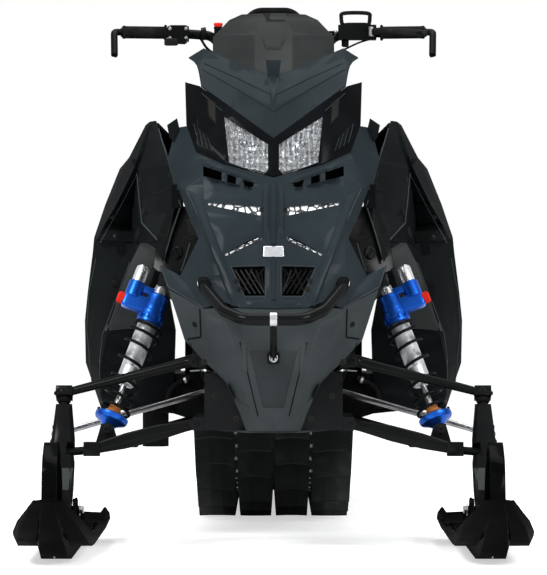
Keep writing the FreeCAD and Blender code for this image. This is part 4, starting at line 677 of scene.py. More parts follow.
def add_piece(name: str, surface: Surface, finish: Finish, body: str = "chassis", smooth: float = 38.0,
              rounding: float = 0.0, replaces: Sequence[str] = ()) -> bpy.types.Object:
    """Make a mesh piece that rides on a body.

    Args:
        name: The piece's name.
        surface: Its shape in the row frame.
        finish: Its material.
        body: The CAD body that it moves with.
        smooth: Edges sharper than this angle in degrees stay crisp.
        rounding: Width of a live bevel on its sharp edges.
        replaces: CAD nodes that it stands for.

    Returns:
        The new object.
    """
    mesh = bpy.data.meshes.new(name)
    mesh.from_pydata(surface.points.tolist(), [], surface.faces)
    built = bmesh.new()
    built.from_mesh(mesh)
    bmesh.ops.remove_doubles(built, verts=built.verts, dist=WELD)
    bmesh.ops.recalc_face_normals(built, faces=built.faces)
    built.to_mesh(mesh)
    built.free()
    mesh.shade_smooth()
    mesh.set_sharp_from_angle(angle=math.radians(smooth))
    mesh.materials.append(finish.material())
    piece = bpy.data.objects.new(name, mesh)
    bpy.context.scene.collection.objects.link(piece)
    if rounding:
        add_bevel(piece, rounding, 30.0, 2)
    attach(piece, body)
    if replaces:
        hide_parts(*replaces)
    return piece


def pair(name: str, finish: Finish, *surfaces: Surface, **options: object) -> bpy.types.Object:
    """Make one piece of surfaces on the rider's left and their mirror images."""
    return add_piece(name, total(surfaces).both(), finish, **options)


def add_bevel(piece: bpy.types.Object, width: float, angle: float, segments: int) -> None:
    """Give a piece rounded edges."""
    bevel = piece.modifiers.new("rounding", "BEVEL")
    bevel.width = width
    bevel.segments = segments
    bevel.limit_method = "ANGLE"
    bevel.angle_limit = math.radians(angle)
    bevel.harden_normals = True


def body_of_node(node: str) -> str:
    """Name of the CAD body that a node belongs to."""
    for body, nodes in frame["record"]["behaviour"]["bodies"].items():
        if node in nodes:
            return body
    return "chassis"


def refined(node: str, finish: Finish, width: float, angle: float = 24.0,
            segments: int = 2) -> bpy.types.Object:
    """Copy of a CAD node with its flat faces joined up and its edges rounded.

    Args:
        node: The CAD node, which the copy stands for.
        finish: Its material.
        width: Width of the rounding in metres.
        angle: Edges sharper than this many degrees are rounded.
        segments: Steps of the rounding.

    Returns:
        The new object.
    """
    mesh = frame["nodes"][node].data.copy()
    built = bmesh.new()
    built.from_mesh(mesh)
    bmesh.ops.remove_doubles(built, verts=built.verts, dist=WELD)
    bmesh.ops.dissolve_limit(built, angle_limit=FLAT, verts=built.verts, edges=built.edges)
    built.to_mesh(mesh)
    built.free()
    mesh.materials.clear()
    mesh.materials.append(finish.material())
    mesh.shade_smooth()
    piece = bpy.data.objects.new(node + "_dressed", mesh)
    bpy.context.scene.collection.objects.link(piece)
    add_bevel(piece, width, angle, segments)
    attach(piece, body_of_node(node))
    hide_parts(node)
    return piece


class Hull:
    """Outer surface of some CAD nodes, on which trim is laid."""

    SKIN = 0.0002
    ROOT = 0.002

    def __init__(self, *nodes: str) -> None:
        """Gather the triangles of the nodes."""
        corners = []
        for node in nodes:
            mesh = frame["nodes"][node].data
            mesh.calc_loop_triangles()
            index = np.empty(len(mesh.loop_triangles) * 3, int)
            mesh.loop_triangles.foreach_get("vertices", index)
            points = np.empty(len(mesh.vertices) * 3)
            mesh.vertices.foreach_get("co", points)
            corners.append(points.reshape(-1, 3)[index].reshape(-1, 3, 3))
        self.triangles = np.concatenate(corners) if corners else np.empty((0, 3, 3))

    def meet(self, start: np.ndarray, ahead: np.ndarray) -> Tuple[np.ndarray, np.ndarray]:
        """Where rays first meet the surface.

        Solves start + t ahead = a + u (b - a) + v (c - a) for every ray and triangle at once
        and keeps the smallest t with u, v and 1 - u - v not below zero.

        Args:
            start: Start of each ray.
            ahead: Direction of each ray.

        Returns:
            The points, and the surface's normals there, turned towards the start. A ray that
            meets nothing takes the depth of the ray before it that did.
        """
        start, ahead = np.broadcast_arrays(np.atleast_2d(start), np.atleast_2d(ahead))
        a, b, c = self.triangles[:, 0], self.triangles[:, 1], self.triangles[:, 2]
        side_b, side_c = b - a, c - a
        cross = np.cross(ahead[:, None], side_c[None])
        scale = np.einsum("rtk,tk->rt", cross, side_b)
        scale = np.where(np.abs(scale) < PARALLEL, np.nan, scale)
        offset = start[:, None] - a[None]
        u = np.einsum("rtk,rtk->rt", offset, cross) / scale
        turned = np.cross(offset, side_b[None])
        v = np.einsum("rtk,rk->rt", turned, ahead) / scale
        t = np.einsum("rtk,tk->rt", turned, side_c) / scale
        inside = (u > -SLACK) & (v > -SLACK) & (u + v < 1 + SLACK) & (t > 0)
        t = np.where(inside, t, np.inf)
        best = np.argmin(t, axis=1)
        reach = t[np.arange(len(best)), best]
        met = np.isfinite(reach)
        if not met.any():
            raise ValueError("no ray meets the surface")
        hits = np.where(met)[0]
        nearest = hits[np.argmin(np.abs(np.arange(len(met))[:, None] - hits[None]), axis=1)]
        reach, best = reach[nearest], best[nearest]
        normal = unit(np.cross(side_b, side_c)[best])
        away = np.sign(-np.einsum("rk,rk->r", normal, ahead))[:, None]
        return start + ahead * reach[:, None], normal * np.where(away == 0, 1, away)

    def seen(self, pixels: object, lift: float = 0.0) -> np.ndarray:
        """Points under pixels of the photograph's frame, raised by lift metres."""
        spots = np.asarray(pixels, float)
        points, normals = self.meet(CAMERA, self.rays(spots))
        return (points + normals * lift).reshape(*spots.shape[:-1], 3)

    def spot(self, pixel: Point) -> Tuple[np.ndarray, np.ndarray]:
        """Place and outward direction of the surface under a pixel."""
        points, normals = self.meet(CAMERA, self.rays(np.array([pixel], float)))
        return points[0], normals[0]

    def depth_at(self, pixel: Point) -> float:
        """Millimetres from the ski bolts back to the surface under a pixel."""
        return (self.seen([pixel])[0][1] + ORIGIN_Y) * 1000

    def plate(self, pixels: object, depth: float, lift: float = 0.0) -> Surface:
        """Flat plate with its outline under pixels and its thickness towards the machine."""
        return slab(self.seen(pixels, lift), (0.0, depth, 0.0))

    def facet(self, pixels: object, depth: float = 0.0) -> "Hull":
        """Wide flat surface through the points under three pixels, moved back by depth metres."""
        plane = Hull()
        corners = self.seen(pixels) + np.array([0.0, depth, 0.0])
        middle = corners.mean(axis=0)
        plane.triangles = (middle + (corners - middle) * 12)[None]
        return plane

    def laid(self, points: object, ahead: object, lift: float = 0.0) -> np.ndarray:
        """Points in metres moved along a direction onto the surface, and raised by lift."""
        spots = np.asarray(points, float)
        met, normals = self.meet(spots.reshape(-1, 3) - unit(ahead) * AWAY, unit(ahead))
        return (met + normals * lift).reshape(spots.shape)

    def dropped(self, places: object, lift: float = 0.0) -> np.ndarray:
        """Points of the upper side over (x, y) places in millimetres from the ski bolts."""
        flat = np.atleast_2d(np.asarray(places, float))
        return self.laid(row(np.column_stack([flat, np.zeros(len(flat))])), DOWN, lift)

    def bead(self, pixels: object, radius: float, lift: float = 0.0, steps: int = 24) -> Surface:
        """Thin round bead along a line of pixels."""
        return tube(self.seen(straight_path(pixels, steps), lift), radius, 6)

    def beads(self, *rows: Sequence[object]) -> Surface:
        """Beads as one surface, each from the values that bead takes."""
        return total(self.bead(*values) for values in rows)

    def pads(self, *rows: Sequence[object]) -> Surface:
        """Pads as one surface, each from the values that pad takes."""
        return total(self.pad(*values) for values in rows)

    def pad(self, first: object, second: object, lift: float, rows: int = 14, columns: int = 8) -> Surface:
        """Raised pad between two lines of pixels.

        Its height is the lift times the smaller of one and five times the distance to the
        nearest edge, both counted in shares of the pad.

        Args:
            first: Pixels of one long edge.
            second: Pixels of the other, in the same order.
            lift: Height in metres.
            rows: Steps along the edges.
            columns: Steps across.

        Returns:
            The surface, closed by its own under side.
        """
        edges = [straight_path(line, rows) for line in (first, second)]
        along, across = np.meshgrid(np.linspace(0, 1, rows), np.linspace(0, 1, columns), indexing="ij")
        pixels = edges[0][:, None] * (1 - across[..., None]) + edges[1][:, None] * across[..., None]
        edge = np.minimum(np.minimum(along, 1 - along) * rows / 2,
                          np.minimum(across, 1 - across) * columns / 2)
        height = lift * np.clip(edge, 0, 1)
        points, normals = self.meet(CAMERA, self.rays(pixels))
        base = points.reshape(*pixels.shape[:-1], 3)
        out = normals.reshape(base.shape)
        top = base + out * (height[..., None] + self.SKIN)
        low = base - out * self.ROOT
        return grid(top) + rim(top, low) + grid(low[:, ::-1])

    @staticmethod
    def rays(pixels: np.ndarray) -> np.ndarray:
        """Directions from the camera through pixels."""
        across = (pixels[..., 0] - PHOTO_MIDDLE[0]) / FOCUS
        rise = (PHOTO_MIDDLE[1] - pixels[..., 1]) / FOCUS
        return np.stack([across, np.ones_like(across), rise], -1).reshape(-1, 3)


def rim(top: np.ndarray, low: np.ndarray) -> Surface:
    """Wall between the borders of two grids."""
    def border(net: np.ndarray) -> np.ndarray:
        """Points round the edge of a grid."""
        return np.vstack([net[0, :-1], net[:-1, -1], net[-1, :0:-1], net[:0:-1, 0]])

    return grid(np.stack([border(top), border(low)]), loop=True)


@dataclass
class CadDress:
    """Finishes on every CAD node, and rounded copies of those that show their edges."""

    rounding: Dict[str, float] = field(default_factory=lambda: {node: width for width, nodes in (
        (0.0022, "hood brow side_panel lower_panel"), (0.002, "nose_pan spindle lower_arm"),
        (0.006, "gauge_pod console"), (0.001, "bulkhead footwell slide_rails"), (0.0014, "lamp_housing"),
        (0.0025, "ski"), (0.004, "ski_handle"), (0.0015, "upper_arm"), (0.003, "side_intake"),
        (0.0008, "tunnel"), (0.0012, "snow_flap"),
    ) for node in nodes.split()})

    def build(self) -> None:
        """Dress every node by its name without the side."""
        for node, piece in frame["nodes"].items():
            base = node.removesuffix("_left").removesuffix("_right")
            finish = NODE_FINISH[base]
            piece.data.materials.clear()
            piece.data.materials.append(finish.material())
            if base in self.rounding:
                refined(node, finish, self.rounding[base])


@dataclass
class Lamps:
    """Reflectors behind the clear lenses, their bulbs, and the dark side lamps."""

    depth: float = 0.03
    flute_gap: float = 0.011
    flute_depth: float = 0.0016

    def reflector(self) -> Surface:
        """Bright bowl behind the left lens.

        Each point lies behind the lens by the depth times one minus half the squared distance from
        the middle, plus the size of a sine across the lamp, which makes the upright flutes.
        """
        top = np.array([(0.0105, 0.888), (0.109, 0.9495)])
        low = np.array([(0.0105, 0.823), (0.109, 0.846)])
        across, rise = np.meshgrid(np.linspace(0, 1, 61), np.linspace(0, 1, 25), indexing="ij")
        upper = top[0] + (top[1] - top[0]) * across[..., None]
        lower = low[0] + (low[1] - low[0]) * across[..., None]
        place = lower * (1 - rise[..., None]) + upper * rise[..., None]
        bowl = (2 * across - 1) ** 2 + (2 * rise - 1) ** 2
        front = -ORIGIN_Y - 0.034 + place[..., 0] * 0.27 + (place[..., 1] - 0.81) * 0.42
        flutes = np.abs(np.sin(place[..., 0] * math.pi / self.flute_gap)) * self.flute_depth
        depth = front + 0.012 + self.depth * np.clip(1 - bowl / 2, 0, 1) + flutes
        points = np.stack([place[..., 0], depth, place[..., 1]], -1)
        back = points + np.array([0.0, 0.003, 0.0])
        return grid(points) + rim(points, back) + grid(back[:, ::-1])

    def build(self) -> None:
        """Make the lamp pieces."""
        bulb = lathe((0.062, -ORIGIN_Y + 0.012, 0.886), FORE,
                     [(0, 0.008), (0.004, 0.0085), (0.008, 0.0065), (0.012, 0.002)], 24)
        pair("lamp_reflectors", REFLECTOR, self.reflector())
        pair("lamp_bulbs", BADGE, bulb)
        hull = Hull("lamp_housing")
        square = [(206.5, 96.5), (216.5, 103.5), (217.5, 127), (208, 117)]
        inner = [(208, 99.2), (215.3, 104.5), (216, 124), (209.2, 115.6)]
        pair("side_lamp_rims", GLOSS, hull.plate(square, 0.006, 0.0015), rounding=0.001)
        pair("side_lamps", CAP, hull.plate(inner, 0.006, 0.0026), rounding=0.0008)
        slots = [hull.plate([(x, 125 + 4.6 * k), (x + 2.4, 126.6 + 4.6 * k), (x + 6.3, 145.5 + 2.6 * k),
                             (x + 2.9, 143 + 2.6 * k)], 0.004, 0.0012)
                 for k, x in enumerate((195.5, 200.1, 204.7))]
        pair("surround_slots", GLOSS, *slots, rounding=0.0006)
        ribs = [hull.bead([(x, 124 + 4.6 * k), (x + 4.4, 143.5 + 2.6 * k)], 0.0011, 0.0012)
                for k, x in enumerate((194.2, 198.9, 203.4, 207.9))]
        pair("surround_ribs", HOOD, *ribs, hull.bead([(201.8, 93.5), (222, 111)], 0.0014, 0.0008))


@dataclass
class HoodTrim:
    """Ridge, raised beams, gauze, grille bars, painted edge highlights and fastenings of the hood."""

    ridge_width: float = 0.0105
    ridge_height: float = 0.0065

    def ridge(self, hull: Hull) -> Surface:
        """Sharp spine down the middle: a triangle carried down the centre line."""
        outline = np.array([(-1, -0.3), (-0.18, 1), (0.18, 1), (1, -0.3)])
        profile = outline * (self.ridge_width, self.ridge_height)
        runs = []
        for start, end, steps, wide, narrow in ((184, 244, 20, 1.0, 0.72), (260, 300, 14, 0.72, 0.5)):
            line = straight_path([(PHOTO_MIDDLE[0], start), (PHOTO_MIDDLE[0], end)], steps)
            runs.append(sweep(hull.seen(line), profile, (0, -1, 0.15), np.linspace(wide, narrow, steps)))
        return total(runs)

    def grille(self, hull: Hull) -> Surface:
        """Diagonal bars across one grille window, with three that cross them."""
        inside = hull.facet([(229, 265), (268, 264), (243.5, 298.5)], 0.004)
        starts = np.clip(235 + np.linspace(-10, 26, 8), 235, 265)
        bars = [[(start, 270), (min(start + 15, 265), 294)] for start in starts]
        bars += [[(246 + shift * 0.6, 294 - max(shift, 0)), (min(258 + shift, 265), 268.5)]
                 for shift in (-6, 6, 17)]
        return total(tube(straight_path(inside.seen(bar), 6), 0.0021, 6) for bar in bars)

    def build(self) -> None:
        """Make the hood's trim."""
        hull = Hull("hood")
        add_piece("hood_ridge", self.ridge(hull), HOOD, smooth=20)
        pair("hood_raised_forms", HOOD, hull.pads(
            ([(187.8, 190), (231.5, 306)], [(201, 196), (241.5, 306)], 0.0055, 24, 9),
            ([(199.5, 164.5), (256, 184)], [(200.5, 158), (258.5, 179)], 0.003, 16, 6),
            ([(262, 186), (262.5, 238)], [(269, 184), (269, 238)], 0.004, 16, 7),
            ([(245.5, 299.5), (268, 299.5)], [(247.5, 306.5), (268, 308)], 0.002, 8, 6),
            ([(203, 176), (256, 189)], [(204, 199.5), (262, 204.5)], 0.0025, 14, 8),
            ([(205.5, 220), (258, 220)], [(222, 252), (261, 236)], 0.0025, 14, 8)), smooth=25)
        # Dark plate behind the hood's front: painted shade seen through its openings.
        behind = row([(15, 60, 538), (95, 60, 538), (150, 90, 850), (15, 30, 850)])
        pair("hood_inner_baffle", TRIM, slab(behind, (0, 0.004, 0)))
        slits = []
        for outline in ([(206, 200.5), (264, 205.5), (261, 216.5), (206, 205)],
                        [(221, 255.5), (262, 236), (263, 240), (224, 257)]):
            inside = hull.facet([outline[0], outline[1], outline[3]], 0.0035)
            slits.append(inside.plate(outline, 0.0015))
        pair("slit_gauze", GAUZE, *slits)
        pair("grille_bars", TRIM, self.grille(hull))
        window = [(230.5, 266.8), (266.5, 265.2), (266, 297.2), (244.6, 297.4)]
        # Pale beads along the grille window, the beams and the lip: painted highlights on these edges.
        pair("hood_bright_edges", PAN, hull.beads(
            (window + window[:1], 0.0011, 0.0006, 40),
            ([(201, 163.5), (257, 182)], 0.0011, 0.0006, 40),
            ([(222.5, 255), (260, 238.5)], 0.0011, 0.0006, 40),
            ([(186, 188.5), (240, 308)], 0.0012, 0.0008, 40),
            ([(162, 268), (168, 287), (203, 307.5)], 0.0013, 0.0008, 30)))
        rivets = [bolt(*hull.spot(pixel), 0.0042, 12)
                  for pixel in ((262.2, 209.5), (239.5, 289), (236.6, 281))]
        pair("hood_rivets", CAP, *rivets)
        plate = hull.seen([(263.5, 246.5), (283.5, 246.5), (284, 257.5), (263, 257.5)], 0.0035)
        add_piece("hood_plate", slab(plate, (0, 0.006, 0)), BADGE, rounding=0.0022)


@dataclass
class FrontShocks:
    """Blue and silver ski shocks, each with its thin black spring and its reservoir."""

    low: Tuple[float, float, float] = (364.0, 84.0, 266.0)
    top: Tuple[float, float, float] = (240.0, 192.0, 592.0)
    coils: float = 7.0
    coil_radius: float = 0.0335
    wire: float = 0.0036
    coil_low: float = 0.038
    coil_top: float = 0.252
    reservoir_aside: float = 0.054

    def __post_init__(self) -> None:
        """Work out the directions of the left shock."""
        self.start = row(self.low)
        self.ahead = unit(row(self.top) - self.start)
        self.aside = unit(np.array([self.ahead[2], 0.0, -self.ahead[0]]))
        self.axes = np.array([self.aside, np.cross(self.ahead, self.aside), self.ahead])

    def turned(self, profile: Sequence[Tuple[float, float]], aside: float = 0.0,
               sides: int = 36) -> Surface:
        """Turned shape along the shock, from (distance, radius) pairs in millimetres."""
        shape = np.array(profile, float) / 1000.0
        return lathe(self.start + self.aside * aside, self.ahead, shape, sides)

    def at(self, along: float, aside: float = 0.0) -> np.ndarray:
        """Point at metres along and aside of the shock."""
        return self.start + self.ahead * along + self.aside * aside

    def eye(self, along: float, half: float, radius: float, chamfer: float) -> Surface:
        """Ring across one end of the shock."""
        profile = [(0, radius - chamfer), (0.001, radius), (2 * half - 0.001, radius),
                   (2 * half, radius - chamfer)]
        return lathe(self.at(along) - np.array([0, half, 0]), REAR, profile)

    def spring(self) -> Surface:
        """Round wire on a helix whose pitch closes up and whose radius shrinks at both ends."""
        turn = np.linspace(0, 1, 300)
        ease = turn - 0.075 * np.sin(2 * math.pi * turn)
        radius = self.coil_radius - 0.006 * np.clip((turn - 0.88) / 0.12, 0, 1) ** 2
        angle = 2 * math.pi * self.coils * turn
        rise = self.coil_low + (self.coil_top - self.coil_low) * ease
        ring = np.cos(angle)[:, None] * self.axes[0] + np.sin(angle)[:, None] * self.axes[1]
        return tube(self.start + rise[:, None] * self.ahead + ring * radius[:, None], self.wire, 10)

    def thread(self) -> Surface:
        """Dull tube with the fine rings of its thread."""
        rings = [(108, 19), (111, 21.5), (146, 21.6)]
        for step in np.arange(148, 258, 2.6):
            rings += [(step, 21.9), (step + 1.3, 21.0)]
        return self.turned(rings + [(262, 21.0)], sides=40)

    def notches(self) -> Surface:
        """Grip notches round the spring's perch."""
        blocks = []
        for angle in np.linspace(0, 2 * math.pi, 10, endpoint=False):
            out = math.cos(angle) * self.axes[0] + math.sin(angle) * self.axes[1]
            axes = np.array([out, np.cross(self.ahead, out), self.ahead])
            blocks.append(pebble(self.at(0.2705) + out * 0.0268, (0.0022, 0.0035, 0.0062), axes, 0.2, 10))
        return total(blocks)

    def build(self) -> None:
        """Make both shocks."""
        aside = self.reservoir_aside
        cap = self.turned([(296, 15), (302, 16.6), (306, 15.6), (338, 15.6),
                           (341, 14.2), (346, 14.2), (352, 11)])
        can = self.turned([(330, 14.6), (352, 15), (370, 15.2),
                           (374, 14.2), (376, 11.5), (377, 11.5)], aside)
        pair("shock_silver_parts", SILVER, cap, self.eye(0.3652, 0.013, 0.0142, 0.0007), can,
             rounding=0.0006)
        body = self.turned([(256, 23), (257, 27.2), (264, 27.6), (265.5, 25.4), (269, 25.4),
                            (270.5, 27.6), (284, 27.6), (287, 24.2), (300, 24.6), (303, 23.2),
                            (322, 23.2), (326, 18), (328, 15)])
        bridge = pebble(self.at(0.292, 0.036), (0.036, 0.014, 0.018), self.axes, 0.3, 28)
        band = self.turned([(301, 16.6), (303, 18.6), (310, 19), (336, 19), (338, 17.6)], aside)
        strap = pebble(self.at(0.328, 0.028), (0.018, 0.008, 0.008), self.axes, 0.25, 20)
        cone = self.turned([(3, 14), (8, 15), (13, 21), (20, 34.5), (24, 37), (32, 37.4), (34, 35),
                            (35, 27), (38, 15.5), (40, 8)], sides=48)
        pair("shock_blue_parts", BLUE, body, bridge, band, strap, cone, rounding=0.0007)
        pair("shock_perch_notches", BLUE, self.notches())
        pair("shock_threads", SHAFT, self.thread())
        shaft = self.turned([(36, 6.4), (112, 6.4)], sides=24)
        pair("shock_shafts", STEEL, shaft, self.eye(0.0, 0.0132, 0.014, 0.0008))
        stop = self.turned([(38, 11), (40, 14.6), (46, 15.4), (49, 13.2), (52, 14.4), (57, 10), (58, 7)])
        pair("shock_bump_stops", BUMPSTOP, stop)
        pair("shock_springs", PAINT, self.spring(), smooth=60,
             replaces=("front_spring_left", "front_spring_right", "front_shock_left", "front_shock_right"))
        knob = ridged((0.0, 0.008), 0.002, 0.0011, 12, 0.0132, (0.017, 0.009))
        pair("shock_red_knobs", RED, lathe(self.at(0.292, 0.068), self.aside, knob, 30))


@dataclass
class ArmTrim:
    """Bolts, boots and rod ends of the front suspension."""

    ball: Tuple[float, float, float] = (457.0, 20.0, 218.0)
    boot: float = 113.0
    lever: float = 63.0
    stud: float = 140.0

    def kingpin(self, rise: float) -> np.ndarray:
        """Point on the left kingpin axis, this many millimetres above the lower ball."""
        x, y, z = self.ball
        return row((x, y + rise * math.sin(LEAN), z + rise * math.cos(LEAN)))

    def build(self) -> None:
        """Make the small parts of both arms."""
        steer = np.array([0.0, math.sin(LEAN), math.cos(LEAN)])
        rear = np.array([0.0, math.cos(LEAN), -math.sin(LEAN)])
        sideways = np.array([(-1.0, 0.0, 0.0), (1.0, 0.0, 0.0)])
        bolts = [bolt(row((x, y, z)), FORE if y < 100 else REAR, 0.0085)
                 for x, y, z in ((171, 29, 417), (171, 330.5, 417), (168, 19, 280), (168, 360.5, 280))]
        bolts += [bolt(row((364, 84, 266)) + np.array(way) * 0.0215, way, 0.0095) for way in (FORE, REAR)]
        bolts.append(bolt(self.kingpin(self.stud) - rear * 0.0182, -rear, 0.0052))
        bolts += [bolt(self.kingpin(self.stud) + way * 0.0182, way, 0.0045) for way in sideways]
        pair("arm_bolts", ALLOY_DARK, *bolts)
        folds = [(0.004, 0.0125), (0.007, 0.0148), (0.010, 0.0128), (0.013, 0.0138), (0.0158, 0.0112)]
        pair("ball_boots", GRIP, lathe(self.kingpin(self.boot), steer, folds, 28))
        rod = self.kingpin(self.lever) + rear * 0.105 + np.array([0.022, 0, 0])
        nuts = lathe(rod + steer * 0.0355, steer, [(0, 0.0085), (0.004, 0.0085), (0.005, 0.0072)], 6)
        nuts += lathe(rod + steer * 0.0105, steer, [(0, 0.0112), (0.001, 0.0118), (0.0028, 0.0098)], 24)
        band = Hull("spindle_left").pad([(488.3, 468), (492.5, 490)], [(474.0, 468), (477.0, 490)],
                                        0.0007, 12, 8)
        caps = total(bolt(row((457, 0, 95)) + way * 0.0372, way, 0.0095) for way in sideways)
        for side in Side:
            spindle = "spindle_" + side.word
            add_piece("rod_end_nuts_" + side.word, nuts.on(side), STEEL, spindle)
            add_piece("spindle_band_" + side.word, band.on(side), LINER, spindle, smooth=30)
            add_piece("ski_pivot_bolts_" + side.word, caps.on(side), STEEL, "ski_" + side.word)


@dataclass
class SkiTrim:
    """Runner, ribs and bolts of each ski."""

    middle: float = 457.0
    runner_lift: float = 0.0043

    def build(self) -> None:
        """Make the ski parts on both sides."""
        hull = Hull("ski_left")
        middle = self.middle
        keel = hull.laid(row([(middle, y, 0) for y in np.linspace(-330, 380, 60)]), UP)
        runner = tube(keel + np.array([0, 0, self.runner_lift]), 0.0045, 10)
        ribs = [tube(hull.dropped([(middle + x, y) for y in np.linspace(-300, 420, 40)], 0.0005), 0.0032, 8)
                for x in (-52, -30, 30, 52)]
        ribs += [tube(hull.dropped([(middle + x, y) for x in np.linspace(-60, 60, 16)], 0.0003), 0.0026, 8)
                 for y in (-250, -170, 250, 330, 410)]
        places = [(middle + x, y) for x in (-22, 22) for y in (-205, 120, 300, 380)]
        heads = [bolt(place, UP, 0.0055) for place in hull.dropped(places)]
        for side in Side:
            for name, shapes, finish in (("runner", [runner], STEEL), ("ribs", ribs, SKI),
                                         ("bolts", heads, STEEL)):
                add_piece(f"ski_{name}_{side.word}", total(shapes).on(side), finish, "ski_" + side.word)


@dataclass
class HandControls:
    """Grips, throttle, brake, switch, cables and clamp bolts on the handlebar."""

    bar_y: float = 620.0
    bar_z: float = 1130.0
    grip_from: float = 248.0
    grip_to: float = 349.0
    grip_radius: float = 0.0146
    ribs: int = 26

    def at(self, x: float, y: float, z: float) -> np.ndarray:
        """Point of the row frame from millimetres counted from the bar's clamp."""
        return row((x, self.bar_y + y, self.bar_z + z))

    def line(self, points: Sequence[Point], steps: int) -> np.ndarray:
        """Smooth line through points counted from the bar's clamp."""
        return smooth_path([self.at(*point) for point in points], steps)

    @staticmethod
    def part(name: str, finish: Finish, *surfaces: Surface, rounding: float = 0.0) -> None:
        """Make a piece that turns with the bar."""
        add_piece(name, total(surfaces), finish, "steering", rounding=rounding)

    def grip(self) -> Surface:
        """Left grip: a flange, then rings whose radius swings between two values."""
        start = row((self.grip_from, 603.7, 1166))
        end = row((self.grip_to, 584.6, 1166))
        length = float(np.linalg.norm(end - start))
        profile = [(0, 0.0118), (0.0004, 0.0182), (0.003, 0.0188), (0.005, 0.0165), (0.0065, 0.0145)]
        for step in np.linspace(0.009, length - 0.009, self.ribs):
            profile += [(step - 0.001, self.grip_radius - 0.0007), (step, self.grip_radius),
                        (step + 0.001, self.grip_radius)]
        profile += [(length - 0.006, 0.0152), (length - 0.001, 0.0152), (length, 0.0135)]
        return lathe(start, end - start, profile, 40)

    def throttle(self) -> None:
        """Block seam, lever pivot, paddle and kill switch on the rider's right."""
        seam = [self.at(x, -43, z) for x, z in ((-220.8, 15), (-219.4, 15), (-219.4, 51), (-220.8, 51))]
        screws = [bolt(self.at(x, -42.2, z), FORE, 0.0026, 16) for x in (-239, -202) for z in (22, 44)]
        lid = pebble(self.at(-220, -18, 50.5), (0.020, 0.019, 0.0022), None, 0.2, 28)
        self.part("throttle_lid", GLOSS, slab(seam, (0, 0.05, 0)), lid, rounding=0.0006)
        pivot = lathe(self.at(-205, -46, 12), UP,
                      [(0, 0.0045), (0.001, 0.006), (0.006, 0.006), (0.007, 0.0045)], 20)
        self.part("throttle_screws", STEEL, *screws, pivot)
        paddle = pebble(self.at(-236, -56, 12), (0.016, 0.0045, 0.0085), None, 0.35, 24)
        arm = sweep(self.line([(-205, -44, 12), (-216, -54, 12), (-232, -57, 12)], 14),
                    circle(12, 0.0048), UP)
        self.part("throttle_lever", ALLOY_DARK, paddle, arm, rounding=0.0004)
        foot = pebble(self.at(-128, -8, 33), (0.0098, 0.013, 0.012), None, 0.3, 24)
        collar = lathe(self.at(-128, -14, 44), UP, [(0, 0.0102), (0.005, 0.0105), (0.006, 0.0092)], 28)
        self.part("switch_body", TRIM, foot, collar, rounding=0.0006)
        self.part("kill_switch", RED, lathe(self.at(-128, -14, 50), UP, [
            (0, 0.0085), (0.004, 0.0105), (0.0075, 0.0104), (0.0088, 0.009), (0.0092, 0.004)], 30))

    def brake(self) -> None:
        """Reservoir lid, bracket, lever, banjo bolt and knob on the rider's left."""
        lid = pebble(self.at(192, -7, 55.5), (0.034, 0.0175, 0.0028), None, 0.2, 32)
        rib = pebble(self.at(192, -7, 58.6), (0.024, 0.010, 0.0012), None, 0.3, 24)
        self.part("brake_lid", GLOSS, lid, rib, rounding=0.0006)
        screws = [bolt(self.at(x, -7, 58), UP, 0.0028, 16) for x in (164, 220)]
        banjo = bolt(self.at(146, -10, 38), (-1, 0, 0), 0.0058)
        pin = lathe(self.at(226, -34, 26), UP,
                    [(0, 0.004), (0.001, 0.0068), (0.022, 0.0068), (0.023, 0.004)], 24)
        self.part("brake_screws", STEEL, *screws, banjo, pin)
        hoop = self.line([(160, -14, 50), (157, -15, 70), (163, -16, 81),
                          (217, -16, 81), (223, -15, 70), (220, -14, 50)], 46)
        self.part("brake_bracket", PAINT, sweep(hoop, strip_profile(0.0045, 0.0016), REAR), rounding=0.0005)
        tip = pebble(self.at(347, -90, 30), (0.0085, 0.0085, 0.0085), None, 1.0, 24)
        blade = self.line([(222, -24, 38), (262, -81, 36), (346, -90, 30)], 36)
        self.part("brake_lever", ALLOY_DARK, tip, sweep(blade, circle(14) * (0.0048, 0.0082), UP))
        knob = [(0, 0.006)] + ridged((0.002, 0.0088), 0.003, 0.0014, 9, 0.0088, (0.017, 0.005))
        self.part("brake_knob", TRIM, lathe(self.at(166, -12, 20), DOWN, knob, 26))

    def cables(self) -> None:
        """Throttle cable, switch wire, brake hose and a second line, led down beside the post."""
        lines = (
            (3.0, [(-196, -12, 34), (-172, -6, 26), (-150, 18, -2),
                   (-96, 30, -34), (-44, 44, -70), (-30, 34, -120)]),
            (2.2, [(-128, -2, 24), (-112, 16, -4), (-80, 30, -26), (-40, 38, -62), (-26, 34, -120)]),
            (3.4, [(140, -10, 38), (122, 4, 34), (110, 22, 0),
                   (84, 34, -36), (44, 46, -72), (30, 36, -120)]),
            (2.2, [(230, 6, 24), (196, 16, 14), (150, 18, -8),
                   (100, 30, -32), (50, 40, -64), (22, 36, -120)]),
        )
        hoses = [tube(self.line(points, 44), radius / 1000, 10) for radius, points in lines]
        ties = [lathe(self.at(*place), (0.8, 0.3, 0.6), [(-0.0028, 0.0068), (0.0028, 0.0068)], 18)
                for place in ((-96, 30, -32), (96, 31, -33))]
        self.part("bar_cables", GRIP, *hoses, *ties)

